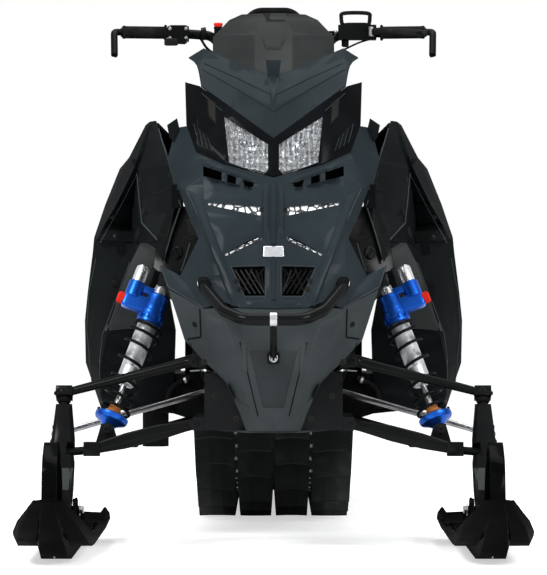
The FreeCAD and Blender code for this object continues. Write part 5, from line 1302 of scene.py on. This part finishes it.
    def build(self) -> None:
        """Make everything on the bar."""
        add_piece("bar_grips", self.grip().both(), GRIP, "steering", replaces=("grips",))
        self.throttle()
        self.brake()
        self.cables()
        ring = lathe(self.at(-166, -10, 33), (1, 0, 0.2),
                     [(0, 0.0135), (0.001, 0.0148), (0.011, 0.0148), (0.012, 0.0135)], 30)
        self.part("bar_rings", PAINT, ring, rounding=0.0004)
        screws = [bolt(self.at(x, y, 10), UP, 0.0042) for x in (-23, 23) for y in (-11, 17)]
        self.part("bar_clamp_bolts", STEEL, *screws)
        slots = [pebble(row((x, 572, 1118)), (0.0034, 0.006, 0.011), None, 0.3, 18) for x in (-364, 364)]
        self.part("bar_hook_slots", GLOSS, *slots)


@dataclass
class Cockpit:
    """Gauge, centre strip, seams and caps of the pod and the console."""

    cap_y: float = 868.0
    cap_radius: float = 0.043

    def gauge(self) -> None:
        """Glass, bezel and buttons in the recess of the pod."""
        glass = pebble(row((0, 477, 1090)), (0.070, 0.0032, 0.031), None, 0.15, 40)
        add_piece("gauge_glass", glass, GLASS, rounding=0.0005)
        shape = circle(64)
        outline = np.copysign(np.abs(shape) ** 0.35, shape)
        ring = row([(76 * a, 479, 1090 + 36.5 * b) for a, b in outline])
        add_piece("gauge_bezel", sweep(np.vstack([ring, ring[:1]]), circle(10, 0.0028), REAR), GLOSS)
        keys = [pebble(row((x, 480, 1062)), (0.009, 0.0022, 0.0042), None, 0.3, 18) for x in (-34, 0, 34)]
        add_piece("gauge_buttons", total(keys), GRIP)

    def strip(self) -> None:
        """Raised middle strip over the pod and brow, and the dark inset at its top."""
        pod = Hull("gauge_pod")
        brow = Hull("brow")
        upper = ([(258.5, 21), (262, 40), (265.8, 50)], [(288.5, 21), (285, 40), (281.2, 50)],
                 0.0032, 22, 12)
        lower = ([(266, 60), (271.2, 104)], [(281, 60), (275.8, 104)], 0.0026, 22, 8)
        add_piece("pod_strip", pod.pad(*upper), POD, smooth=30)
        add_piece("brow_strip", brow.pad(*lower), BROW, smooth=30)
        inset = pod.plate([(263, 13.6), (289, 13.6), (284.5, 22), (267, 22)], 0.004, 0.0018)
        add_piece("pod_inset", inset, GLOSS, rounding=0.0008)
        pair("pod_seams", POD, pod.bead([(230.5, 21), (241, 16), (257, 15.2)], 0.0009, 0.0001, 26))
        pair("brow_creases", BROW, brow.beads(
            ([(204.5, 63.5), (240, 79.5), (273, 95.5)], 0.0012, 0.0002, 44),
            ([(202.5, 69.5), (240, 91), (273, 111)], 0.0011, 0.0002, 44)))

    def fuel_cap(self, console: Hull) -> None:
        """Turned cap with finger ribs round it and a bar across."""
        top = console.dropped((0, self.cap_y))[0]
        ribs = []
        for angle in np.linspace(0, 2 * math.pi, 28, endpoint=False):
            out = np.array([math.cos(angle), math.sin(angle), 0.0])
            middle = top + out * self.cap_radius + np.array([0, 0, 0.011])
            ribs.append(pebble(middle, (0.0026, 0.0026, 0.009),
                               np.array([out, np.cross(UP, out), UP]), 0.4, 10))
        cap = lathe(top, UP, [(-0.006, 0.046), (0.002, 0.048), (0.0025, 0.0425),
                              (0.019, 0.042), (0.021, 0.039), (0.0205, 0.031),
                              (0.0175, 0.029), (0.0175, 0.008), (0.0185, 0.004)], 56)
        bar = pebble(top + np.array([0, 0, 0.019]), (0.031, 0.006, 0.0042), None, 0.35, 28)
        add_piece("fuel_cap", total([cap, bar] + ribs), GRIP)

    def build(self) -> None:
        """Make the cockpit pieces."""
        self.gauge()
        self.strip()
        console = Hull("console")
        self.fuel_cap(console)
        lock = console.dropped((62, 700))[0]
        barrel = lathe(lock, UP, [(-0.004, 0.014), (0.001, 0.0145), (0.003, 0.012), (0.0032, 0.006)], 30)
        key = pebble(lock + np.array([0, 0, 0.009]), (0.0016, 0.0085, 0.008), None, 0.3, 16)
        add_piece("key_switch", barrel + key, STEEL)
        seams = []
        for x, slope in ((60, 0.05), (96, 0.0)):
            line = [(x + (y - 660) * slope, y) for y in np.linspace(650, 990, 40)]
            seams.append(tube(console.dropped(line, 0.0001), 0.0011, 6))
        pair("console_seams", GLOSS, *seams)
        studs = [bolt(place, UP, 0.0036, 16)
                 for place in console.dropped([(90, 680), (88, 800), (84, 960)])]
        pair("console_rivets", CAP, *studs)


@dataclass
class SidePanels:
    """Painted edge highlights, liners, latches and caps of the side panels."""

    # Radius of the pale bead that paints the highlight along the panel's flare edge.
    edge_radius: float = 0.0022

    def upper(self) -> None:
        """Painted edge highlights, notches, spike and rivets of the upper panel."""
        panel = Hull("side_panel_left")
        # Pale beads along the panel's edges: painted highlights.
        pair("panel_edges", PAN, panel.beads(
            ([(410, 173), (407.5, 200), (405, 223), (387, 243)], self.edge_radius, -0.0006, 50),
            ([(388.5, 128.5), (379, 160), (371, 190), (366, 207)], 0.0015, -0.0004, 50),
            ([(410, 174), (427, 207), (447, 243)], 0.0016, -0.0004, 50),
            ([(367, 208), (376, 235), (384, 262)], 0.0017, -0.0002, 40)))
        pair("panel_notches", GLOSS, panel.beads(
            ([(381, 141), (374.5, 143.5)], 0.0018, 0.0006, 8),
            ([(379, 148), (373.5, 151)], 0.0018, 0.0006, 8)))
        shoulder = Hull("hood").depth_at((368, 131)) - 2
        outline = ((233, 931), (211, 946), (204, 917), (211, 884), (228, 905))
        spike = slab(row([(x, shoulder, z) for x, z in outline]), (0, 0.008, 0))
        pair("shoulder_spikes", BODY, spike, rounding=0.0006)
        spots = panel.seen([(406, 180), (403, 212), (376, 175), (414, 160), (435, 216)])
        pair("panel_rivets", CAP, *[bolt(place, (0.2, -0.97, 0.1), 0.0042, 16) for place in spots])

    def lower(self) -> None:
        """Light liner facets, flank plate, latch and painted edge highlights of the lower panel."""
        panel = Hull("lower_panel_left")
        facet = panel.pad([(405, 240), (419, 268), (443, 331)], [(386, 252), (397, 285), (410, 328)],
                          0.0022, 30, 14)
        pair("panel_liner", LINER, facet, smooth=25)
        flank = panel.pad([(418, 262), (435, 300), (443, 328)], [(449, 258), (455, 300), (457, 340)],
                          0.0018, 26, 10)
        pair("panel_flank_plate", BODY, flank, smooth=25)
        # Pale beads along the panel's edges: painted highlights.
        pair("lower_panel_edges", PAN, panel.beads(
            ([(417, 262), (431, 300), (444, 334), (447, 360), (447, 395)], 0.0015, 0.0004, 60),
            ([(451, 258), (458, 294), (460, 330), (455, 384)], 0.0012, 0.0002, 50)))
        place = panel.seen([(431, 289)])[0]
        latch = pebble(place, (0.010, 0.006, 0.022), None, 0.3, 24)
        hinge = pebble(place + np.array([0.0, -0.005, 0.012]), (0.008, 0.004, 0.006), None, 0.3, 20)
        pair("panel_latches", GRIP, latch, hinge, rounding=0.0005)

    def intake(self) -> None:
        """Cap with slots, quarter-turn latch and pale line of the side intake."""
        intake = Hull("side_intake_left", "hood", "side_panel_left")
        cap = intake.plate([(363, 219), (356.5, 219), (349, 238), (358, 241.5)], 0.008, 0.0015)
        slots = [intake.plate([(362 - k, 223 + 4.4 * k), (356.4 - k * 1.4, 222.6 + 4.4 * k),
                               (355.8 - k * 1.4, 224.6 + 4.4 * k), (361.5 - k, 225 + 4.4 * k)],
                              0.004, 0.003)
                 for k in range(4)]
        pair("intake_caps", CAP, cap, rounding=0.001)
        pair("intake_cap_slots", GLOSS, *slots)
        place = intake.seen([(370, 253)])[0] + np.array([0, -0.002, 0])
        ahead = unit((0.25, -0.95, 0.15))
        dial = lathe(place, ahead, [(-0.006, 0.0135), (0.003, 0.0138), (0.0045, 0.012),
                                    (0.0045, 0.0095), (0.003, 0.009)], 32)
        axes = np.array([unit((0.6, 0.1, 0.8)), unit(np.cross(ahead, (0.6, 0.1, 0.8))), ahead])
        wing = pebble(place + ahead * 0.006, (0.0115, 0.0028, 0.004), axes, 0.35, 20)
        pair("quarter_turns", PAINT, dial, wing, rounding=0.0003)
        line = intake.bead([(356.5, 243), (361, 258), (365.5, 271)], 0.0019, 0.0008, 30)
        pair("intake_pale_lines", LINER, line)

    def baffles(self) -> None:
        """Dark plates behind the gaps between the hood, the intake and the panels: painted shade in the
        gaps.
        """
        plates = []
        for node, pixel, behind, (left, right, low, high) in (
                ("hood", (366, 180), 16, (196, 222, 748, 800)),
                ("lower_panel_left", (420, 252), 4, (298, 352, 650, 702))):
            depth = Hull(node).depth_at(pixel) + behind
            outline = [(left, depth, low), (right, depth, low), (right, depth, high), (left, depth, high)]
            plates.append(slab(row(outline), (0, 0.003, 0)))
        # Dark plates that paint the shade in the panel gaps.
        pair("panel_inner_baffles", TRIM, *plates)

    def build(self) -> None:
        """Make the side panel pieces."""
        self.baffles()
        self.upper()
        self.lower()
        self.intake()


@dataclass
class Nose:
    """Steps, wedges and lines of the nose pan, the bumper's fittings and the bulkhead's edges."""

    def pan(self, pan: Hull) -> None:
        """Raised wedges, pads, lines and rivets of the nose pan; the middle pad is painted darker as shade.
        """
        wedge = pan.pad([(306.5, 344.5), (300.8, 374)], [(300.2, 344.5), (299.4, 374)], 0.0032, 26, 8)
        side = pan.pad([(344, 312), (340, 342), (314, 398)], [(320, 322), (311, 346), (295, 410)],
                       0.0028, 34, 16)
        pair("nose_wedges", LINER, wedge, smooth=24)
        pair("nose_side_pads", PAN, side, smooth=24)
        # Darker copy of the pan plastic on the middle pad: painted shade.
        middle = pan.pad([(249, 350), (263, 408)], [(298, 350), (284, 408)], 0.0026, 26, 18)
        add_piece("nose_mid_pad", middle, PAN_SHADED, smooth=24)
        pair("nose_lines", BODY, pan.beads(
            ([(347, 309), (346, 337), (359, 339)], 0.0017, 0.0006, 40),
            ([(357, 343), (343, 380), (334, 408), (315, 424)], 0.0013, 0.0003, 50),
            ([(307, 342), (289, 416)], 0.0012, 0.0004, 40)))
        spots = pan.seen([(352, 324), (343, 362), (332, 396), (311, 419)])
        pair("nose_rivets", CAP, *[bolt(place, (0, -1, 0.1), 0.0045, 16) for place in spots])

    def bumper(self, pan: Hull) -> None:
        """Clip, sleeves, strut and foot of the front bumper."""
        clip = sweep(row([(x, -292, 509) for x in (-7.5, 7.5)]), circle(30, 0.0146), UP)
        strut = sweep(row([(0, -290, 498), (0, -262, 470), (0, -226, 442), (0, -208, 426)]),
                      strip_profile(0.0075, 0.0022), OUT)
        add_piece("bumper_clip", clip, ALLOY, rounding=0.0006)
        ends = row([(150, -60, 590), (146, -150, 574)])
        sleeve = [(0, 0.0130), (0.001, 0.0134), (0.058, 0.0134), (0.060, 0.0128)]
        pair("bumper_sleeves", GRIP, lathe(ends[0], ends[1] - ends[0], sleeve, 30))
        add_piece("bumper_strut", strut, PAINT, rounding=0.0008)
        foot = pan.seen([(273.5, 358)])[0]
        pad = pebble(foot + np.array([0, -0.003, 0]), (0.013, 0.005, 0.013), None, 0.3, 24)
        add_piece("bumper_foot", pad, PAINT, rounding=0.0006)
        add_piece("bumper_foot_bolt", bolt(foot + np.array([0, -0.0078, 0]), (0, -1, 0.1), 0.0062), STEEL)

    def bulkhead(self) -> None:
        """Silver plate edges, bent hose and its clamps by the bulkhead."""
        core = Hull("bulkhead", "nose_pan", "lower_panel_left", "engine", "footwell_left")
        pair("plate_edges", ALLOY, core.bead([(357, 371.5), (344, 370.5), (331, 373)], 0.0028, 0.001, 30))
        bends = [(357, 378), (368, 383), (377, 390), (379.5, 398), (379.6, 405)]
        hose = smooth_path(core.seen(bends, 0.012), 40)
        pair("bent_hoses", GRIP, tube(hose, 0.0066, 14))
        pair("hose_clamps", STEEL, *[tube(hose[k:k + 3], 0.0074, 16) for k in (3, 34)])

    def build(self) -> None:
        """Make the nose pieces."""
        hull = Hull("nose_pan")
        self.pan(hull)
        self.bumper(hull)
        self.bulkhead()


@dataclass
class Saddle:
    """Seat cushion, swollen by a cloth simulation, with its sewn seams."""

    voxel: float = 0.0065
    pressure: float = 4.0
    frames: int = 20
    cap: float = 0.024
    seams: Tuple[float, float] = (1232.0, 1566.0)
    seam_depth: float = 0.0042
    seam_width: float = 4.5
    side_seam: float = 44.0
    tunnel_run: Tuple[float, float] = (655.0, 2450.0)
    tunnel_top: Tuple[float, float] = (578.3, 518.3)
    rest: float = 0.0004
    console_end: float = 1.0135

    def lines(self) -> np.ndarray:
        """Stations of the cushion: rearward place, half width at the top and at the foot, top, foot."""
        return np.array([(1020, 92, 132, 838, 578), (1060, 94, 136, 846, 576), (1194, 92, 136, 856, 569),
                         (1350, 98, 136, 836, 562), (1500, 103, 136, 816, 555), (1640, 107, 134, 798, 550),
                         (1712, 104, 128, 790, 547), (1750, 86, 106, 760, 546)], float)

    def shell(self) -> Surface:
        """Starting form, smaller than the cushion.

        Every ring is a rounded box: its height above the foot grows with the power 0.35 of a
        cosine, and its half width goes from that of the foot to that of the top.
        """
        stations = self.lines()
        fine = smooth_path(stations[:, :3], 40)
        heights = smooth_path(np.column_stack([stations[:, 3:], stations[:, 0]]), 40)
        turn = np.linspace(0, 2 * math.pi, 56, endpoint=False)
        side = np.sign(np.cos(turn)) * np.abs(np.cos(turn)) ** 0.36
        lift = 0.5 + 0.5 * np.sign(np.sin(turn)) * np.abs(np.sin(turn)) ** 0.36
        half = fine[:, 2, None] * (1 - lift) + fine[:, 1, None] * lift
        rise = heights[:, 1, None] + (heights[:, 0, None] - heights[:, 1, None]) * lift
        place = np.stack([side * half, np.broadcast_to(fine[:, :1], half.shape), rise], -1)
        return grid(row(place), loop=True, caps=True)

    def build(self) -> None:
        """Make the cushion and rest it on the tunnel."""
        piece = add_piece("seat_cushion", self.shell(), SEAT, replaces=("seat",))
        remesh = piece.modifiers.new("even", "REMESH")
        remesh.mode = "VOXEL"
        remesh.voxel_size = self.voxel
        remesh.use_smooth_shade = True
        self.apply(piece)
        self.swell(piece)
        finer = piece.modifiers.new("finer", "SUBSURF")
        finer.levels = 1
        finer.render_levels = 1
        self.apply(piece)
        self.sew(piece)
        piece.data.shade_smooth()

    @staticmethod
    def read(mesh: bpy.types.Mesh, value: str) -> np.ndarray:
        """One vector for each point of a mesh: its place or its normal."""
        numbers = np.empty(len(mesh.vertices) * 3)
        mesh.vertices.foreach_get(value, numbers)
        return numbers.reshape(-1, 3)

    @staticmethod
    def apply(piece: bpy.types.Object) -> None:
        """Bake the piece's modifiers into its mesh."""
        graph = bpy.context.evaluated_depsgraph_get()
        graph.update()
        baked = bpy.data.meshes.new_from_object(piece.evaluated_get(graph), depsgraph=graph)
        piece.modifiers.clear()
        piece.data = baked

    def swell(self, piece: bpy.types.Object) -> None:
        """Blow the cushion up with air and keep each point near its start."""
        start = self.read(piece.data, "co")
        cloth = piece.modifiers.new("air", "CLOTH")
        cloth.settings.use_pressure = True
        cloth.settings.uniform_pressure_force = self.pressure
        cloth.settings.effector_weights.gravity = 0.0
        cloth.settings.quality = 5
        cloth.point_cache.frame_start = 1
        cloth.point_cache.frame_end = self.frames
        scene = bpy.context.scene
        for frame_number in range(1, self.frames + 1):
            scene.frame_set(frame_number)
        self.apply(piece)
        scene.frame_set(1)
        move = self.read(piece.data, "co") - start
        reach = np.linalg.norm(move, axis=1, keepdims=True)
        move = move * np.minimum(1.0, self.cap / np.maximum(reach, 1e-9))
        piece.data.vertices.foreach_set("co", (start + move).ravel())
        piece.data.update()

    def sew(self, piece: bpy.types.Object) -> None:
        """Press the seams in and rest the foot on the tunnel.

        The height of a seam falls off with the square of the distance to its plane, and the long
        seams follow the height of the cushion's top along the machine.
        """
        mesh = piece.data
        points = self.read(mesh, "co")
        normals = self.read(mesh, "normal")
        place = points[:, 1] * 1000 + ORIGIN_Y * 1000
        height = points[:, 2] * 1000
        stations = self.lines()
        top = np.interp(place, stations[:, 0], stations[:, 3])
        press = np.zeros(len(points))
        for seam in self.seams:
            press += np.exp(-((place - seam) / self.seam_width) ** 2) * (height > top - self.side_seam - 2)
        beside = height - (top - self.side_seam)
        press += np.exp(-(beside / self.seam_width) ** 2) * (np.abs(normals[:, 2]) < 0.9)
        points = points - normals * (np.clip(press, 0, 1) * self.seam_depth)[:, None]
        low = np.interp(place, self.tunnel_run, self.tunnel_top) / 1000 + self.rest
        points[:, 2] = np.maximum(points[:, 2], low)
        points[:, 1] = np.maximum(points[:, 1], self.console_end - ORIGIN_Y)
        mesh.vertices.foreach_set("co", points.ravel())
        mesh.update()


@dataclass
class TunnelTrim:
    """Rivets, stiffening ribs and toe holds of the tunnel and boards."""

    start: float = 660.0
    end: float = 2360.0

    def build(self) -> None:
        """Make the tunnel pieces."""
        tunnel = Hull("tunnel")
        ys = np.linspace(700, 2400, 44)
        heads = [bolt(place, UP, 0.0034, 12) for place in tunnel.dropped([(194, y) for y in ys])]
        sides = row([(600, y, 470 - (y - 700) * 0.02) for y in ys[::2]])
        heads += [bolt(place, OUT, 0.0034, 12) for place in tunnel.laid(sides, (-1, 0, 0))]
        pair("tunnel_rivets", ALLOY_DARK, *heads)
        ribs = [tube(tunnel.dropped([(x, y) for y in np.linspace(1800, self.end, 60)], -0.0005), 0.0055, 10)
                for x in (60, 120)]
        pair("tunnel_ribs", TUNNEL, *ribs)
        slots = np.linspace(self.start, self.end, 17)[1:-1]
        base = Hull("running_board_left").dropped([(x, y) for y in slots for x in (262, 292, 322, 352)])
        tooth = lathe((0, 0, 0), UP, [(-0.0005, 0.0055), (0.003, 0.0042), (0.0062, 0.0030),
                                      (0.0062, 0.0018), (0.002, 0.0014)], 8)
        pair("board_teeth", ALLOY_DARK, tooth.copies(base))


@dataclass
class Tail:
    """Lens ribs, flap ribs, flap bolts and bumper clamps at the rear."""

    behind: float = 2600.0

    def build(self) -> None:
        """Make the rear pieces."""
        lamp = Hull("tail_lamp")
        corners = lamp.triangles.reshape(-1, 3)
        low, high = corners.min(axis=0), corners.max(axis=0)
        ribs = []
        for share in np.linspace(0.2, 0.8, 6):
            rise = np.full(30, low[2] + (high[2] - low[2]) * share)
            line = np.stack([np.linspace(low[0] * 0.85, high[0] * 0.85, 30),
                             np.full(30, high[1]), rise], -1)
            ribs.append(tube(lamp.laid(line, FORE, 0.0002), 0.0014, 8))
        add_piece("tail_lens_ribs", total(ribs), TAIL)
        flap = Hull("snow_flap")
        lines = [row([(x, self.behind, z) for z in np.linspace(470, 300, 24)])
                 for x in range(-150, 151, 60)]
        add_piece("flap_ribs", total(tube(flap.laid(line, FORE), 0.004, 8) for line in lines), TRACK)
        places = flap.laid(row([(x, self.behind, 488) for x in range(-160, 161, 80)]), FORE)
        add_piece("flap_bolts", total(bolt(place, (0, 1, 0.4), 0.006) for place in places), STEEL)
        collar = [(-0.011, 0.0142), (-0.010, 0.0152), (0.010, 0.0152), (0.011, 0.0142)]
        clamps = [lathe(row((219, y, z)), (0, 1, 0.2), collar, 28) for y, z in ((2500, 496), (2190, 446))]
        pair("rear_bumper_clamps", TRIM, *clamps)
        grip = tube(row([(x, 2787, 560) for x in np.linspace(-92, 92, 40)]), 0.0145, 24)
        add_piece("rear_bumper_grip", grip, GRIP)


@dataclass
class TrackTrim:
    """Lug ribs, clips and drive teeth set along the belt, and the fittings of the wheels."""

    count: int = 52
    belt: float = 0.006
    lug_height: float = 0.066
    rib_shift: float = 0.020
    columns: Tuple[Tuple[float, float], ...] = (
        (-0.1905, -0.0905), (-0.0888, -0.0008), (0.0008, 0.0888), (0.0905, 0.1905))
    bend_slope: Tuple[float, float] = (52.0, 270.0)

    def places(self, shift: float) -> Tuple[np.ndarray, np.ndarray]:
        """Points on the inside of the belt and outward directions, shifted by a share of a row.

        The common tangent of two wheels leaves at the angle of the line between them less the
        arc cosine of the difference of their radii over the distance between them.

        Args:
            shift: Share of a row that each place lies past the start of its row.

        Returns:
            The points and the directions.
        """
        slope = math.atan2(*self.bend_slope)
        contact = 1450 - 420 * math.tan(slope / 2)
        wheels = np.array([(850, 372, 93), (1240, 412, 300),
                           (contact + 40, 492, 420), (2510, 172, 100)], float)
        ahead = np.roll(wheels[:, :2], -1, axis=0) - wheels[:, :2]
        shrink = (wheels[:, 2] - np.roll(wheels[:, 2], -1)) / np.linalg.norm(ahead, axis=1)
        leave = np.arctan2(ahead[:, 1], ahead[:, 0]) - np.arccos(shrink)
        arrive = np.roll(leave, 1)
        turn = np.mod(leave - arrive, 2 * math.pi)
        angle = arrive[:, None] + turn[:, None] * np.linspace(0, 1, 160)[None]
        line = wheels[:, None, :2] + wheels[:, None, 2:] * np.stack([np.cos(angle), np.sin(angle)], -1)
        line = line.reshape(-1, 2)
        line = np.vstack([line, line[:1]])
        flat = np.unwrap(np.append(angle.ravel(), angle[0, 0]))
        along = np.concatenate([[0.0], np.cumsum(np.linalg.norm(np.diff(line, axis=0), axis=1))])
        spots = (np.arange(self.count) + shift) * along[-1] / self.count
        y, z = np.interp(spots, along, line[:, 0]), np.interp(spots, along, line[:, 1])
        way = np.interp(spots, along, flat)
        points = row(np.stack([np.zeros_like(y), y, z], -1))
        return points, np.stack([np.zeros_like(way), np.cos(way), np.sin(way)], -1)

    @staticmethod
    def placed(shape: Surface, points: np.ndarray, outward: np.ndarray) -> Surface:
        """Copies of a shape made of (across, ahead, outward) numbers, one at each point."""
        across = np.array([1.0, 0.0, 0.0])
        ahead = np.cross(across, outward)
        local = shape.points
        moved = (points[:, None] + local[None, :, 0, None] * across
                 + local[None, :, 1, None] * ahead[:, None] + local[None, :, 2, None] * outward[:, None])
        steps = range(0, len(points) * len(local), len(local))
        faces = [[corner + step for corner in face] for step in steps for face in shape.faces]
        return Surface(moved.reshape(-1, 3), faces)

    def lug_ribs(self) -> Surface:
        """Two upright ribs on both faces of every lug."""
        points, outward = self.places(0.5)
        pieces = []
        for number, (near, far) in enumerate(self.columns):
            chosen = np.arange(self.count) % 2 == (number + 1) % 2
            for x in ((near + far) / 2 - self.rib_shift, (near + far) / 2 + self.rib_shift):
                rings = []
                for half, reach, rise in ((0.0032, 0.0128, 0.0), (0.0022, 0.0066, self.lug_height - 0.004)):
                    rings.append([(x + a, b, self.belt + rise) for a, b in strip_profile(half, reach)])
                lug = grid(np.array(rings), loop=True, caps=True)
                pieces.append(self.placed(lug, points[chosen], outward[chosen]))
        return total(pieces)

    def build(self) -> None:
        """Make the track and wheel pieces."""
        add_piece("track_lug_ribs", self.lug_ribs(), TRACK)
        points, outward = self.places(0.0)
        for name, finish, x, z, half, power in (
                ("track_clips", STEEL, 0.098, self.belt + 0.0004, (0.013, 0.0085, 0.0016), 0.25),
                ("track_drive_teeth", TRACK, 0.062, -0.007, (0.010, 0.009, 0.0085), 0.35)):
            block = total(pebble((way * x, 0, z), half, None, power, 12) for way in (-1, 1))
            add_piece(name, self.placed(block, points, outward), finish)
        cap = [(-0.001, 0.021), (0.0012, 0.0215), (0.002, 0.016), (0.0022, 0.008)]
        places = [(x, y, 140) for y in (1520, 1890, 2230) for x in (116, 142)]
        pair("bogie_caps", STEEL, *[lathe(row(place), OUT, cap, 24) for place in places])


# Light and camera

@dataclass
class Studio:
    """White floor, soft lamps and the camera at the photograph's place."""

    lens: float = 251.0
    horizon: float = 0.0061
    ambient: float = 0.55
    glow: float = 0.56
    floor_half: float = 30.0
    rays: Tuple[str, str, str] = ("Is Camera Ray", "Is Glossy Ray", "Is Transmission Ray")

    def backdrop_material(self) -> bpy.types.Material:
        """Pale floor that looks white where it is in no shadow."""
        shader = Shader("backdrop")
        path = shader.nodes.new("ShaderNodeLightPath")
        camera, glossy, clear = [Wire(shader, path.outputs[name]) for name in self.rays]
        seen = camera.most(glossy).most(clear)
        shader.set(Base_Color=(0.86, 0.86, 0.86), Roughness=0.9, Specular_IOR_Level=0.0)
        shader.set(Emission_Color=shader.tint(seen, (0.0, 0.0, 0.0), (1.0, 1.0, 1.0)))
        shader.set(Emission_Strength=self.glow)
        return shader.material

    def floor(self) -> None:
        """Floor sheet under the machine."""
        corners = [(x * self.floor_half, y * self.floor_half, 0) for x,
                   y in ((-1, -1), (1, -1), (1, 1), (-1, 1))]
        mesh = bpy.data.meshes.new("floor")
        mesh.from_pydata(corners, [], [(0, 1, 2, 3)])
        mesh.materials.append(self.backdrop_material())
        piece = bpy.data.objects.new("floor", mesh)
        bpy.context.scene.collection.objects.link(piece)

    def lamp(self, name: str, place: Point, aim: Point, size: Tuple[float, float], power: float) -> None:
        """Soft rectangular lamp aimed at a point."""
        data = bpy.data.lights.new(name, "AREA")
        data.shape = "RECTANGLE"
        data.size, data.size_y = size
        data.energy = power
        lamp = bpy.data.objects.new(name, data)
        lamp.location = place
        lamp.rotation_euler = (Vector(aim) - Vector(place)).to_track_quat("-Z", "Y").to_euler()
        bpy.context.scene.collection.objects.link(lamp)

    def world(self) -> None:
        """Surroundings that are white to the camera and in reflections, and softer as a light."""
        world = bpy.data.worlds.new("studio")
        bpy.context.scene.world = world
        world.use_nodes = True
        tree = world.node_tree
        soft = tree.nodes["Background"]
        soft.inputs[0].default_value = (0.97, 0.985, 1.0, 1.0)
        soft.inputs[1].default_value = self.ambient
        white = tree.nodes.new("ShaderNodeBackground")
        white.inputs[0].default_value = (1.0, 1.0, 1.0, 1.0)
        path = tree.nodes.new("ShaderNodeLightPath")
        seen = None
        for ray in self.rays:
            if seen is None:
                seen = path.outputs[ray]
                continue
            most = tree.nodes.new("ShaderNodeMath")
            most.operation = "MAXIMUM"
            tree.links.new(seen, most.inputs[0])
            tree.links.new(path.outputs[ray], most.inputs[1])
            seen = most.outputs[0]
        mix = tree.nodes.new("ShaderNodeMixShader")
        tree.links.new(seen, mix.inputs[0])
        tree.links.new(soft.outputs[0], mix.inputs[1])
        tree.links.new(white.outputs[0], mix.inputs[2])
        tree.links.new(mix.outputs[0], tree.nodes["World Output"].inputs[0])

    def camera(self) -> None:
        """Long lens in front of the machine, level with the nose."""
        data = bpy.data.cameras.new("camera")
        data.sensor_width = 36.0
        data.lens = self.lens
        data.clip_end = 100.0
        data.shift_y = self.horizon
        camera = bpy.data.objects.new("camera", data)
        camera.location = CAMERA
        camera.rotation_euler = (math.pi / 2, 0.0, 0.0)
        bpy.context.scene.collection.objects.link(camera)
        bpy.context.scene.camera = camera

    def build(self) -> None:
        """Set up the scene round the machine."""
        bpy.context.scene.view_settings.view_transform = "Standard"
        self.camera()
        self.floor()
        self.world()
        self.lamp("key", (-2.6, -4.2, 3.4), (0, -0.6, 0.6), (1.6, 1.2), 210)
        self.lamp("fill", (2.8, -4.0, 2.6), (0, -0.6, 0.5), (1.6, 1.2), 130)
        self.lamp("top", (0, -0.2, 4.2), (0, -0.2, 0.4), (3.0, 3.0), 180)


ASSEMBLIES = (Studio, CadDress, Lamps, HoodTrim, FrontShocks, ArmTrim, SkiTrim, HandControls, Cockpit,
              SidePanels, Nose, Saddle, TunnelTrim, Tail, TrackTrim)


def main() -> None:
    logging.basicConfig(level=logging.INFO, format="%(name)s: %(message)s")
    for assembly in ASSEMBLIES:
        assembly().build()
        LOG.info("built %s", assembly.__name__)
    bpy.context.view_layer.update()


if __name__ == "__main__":
    main()
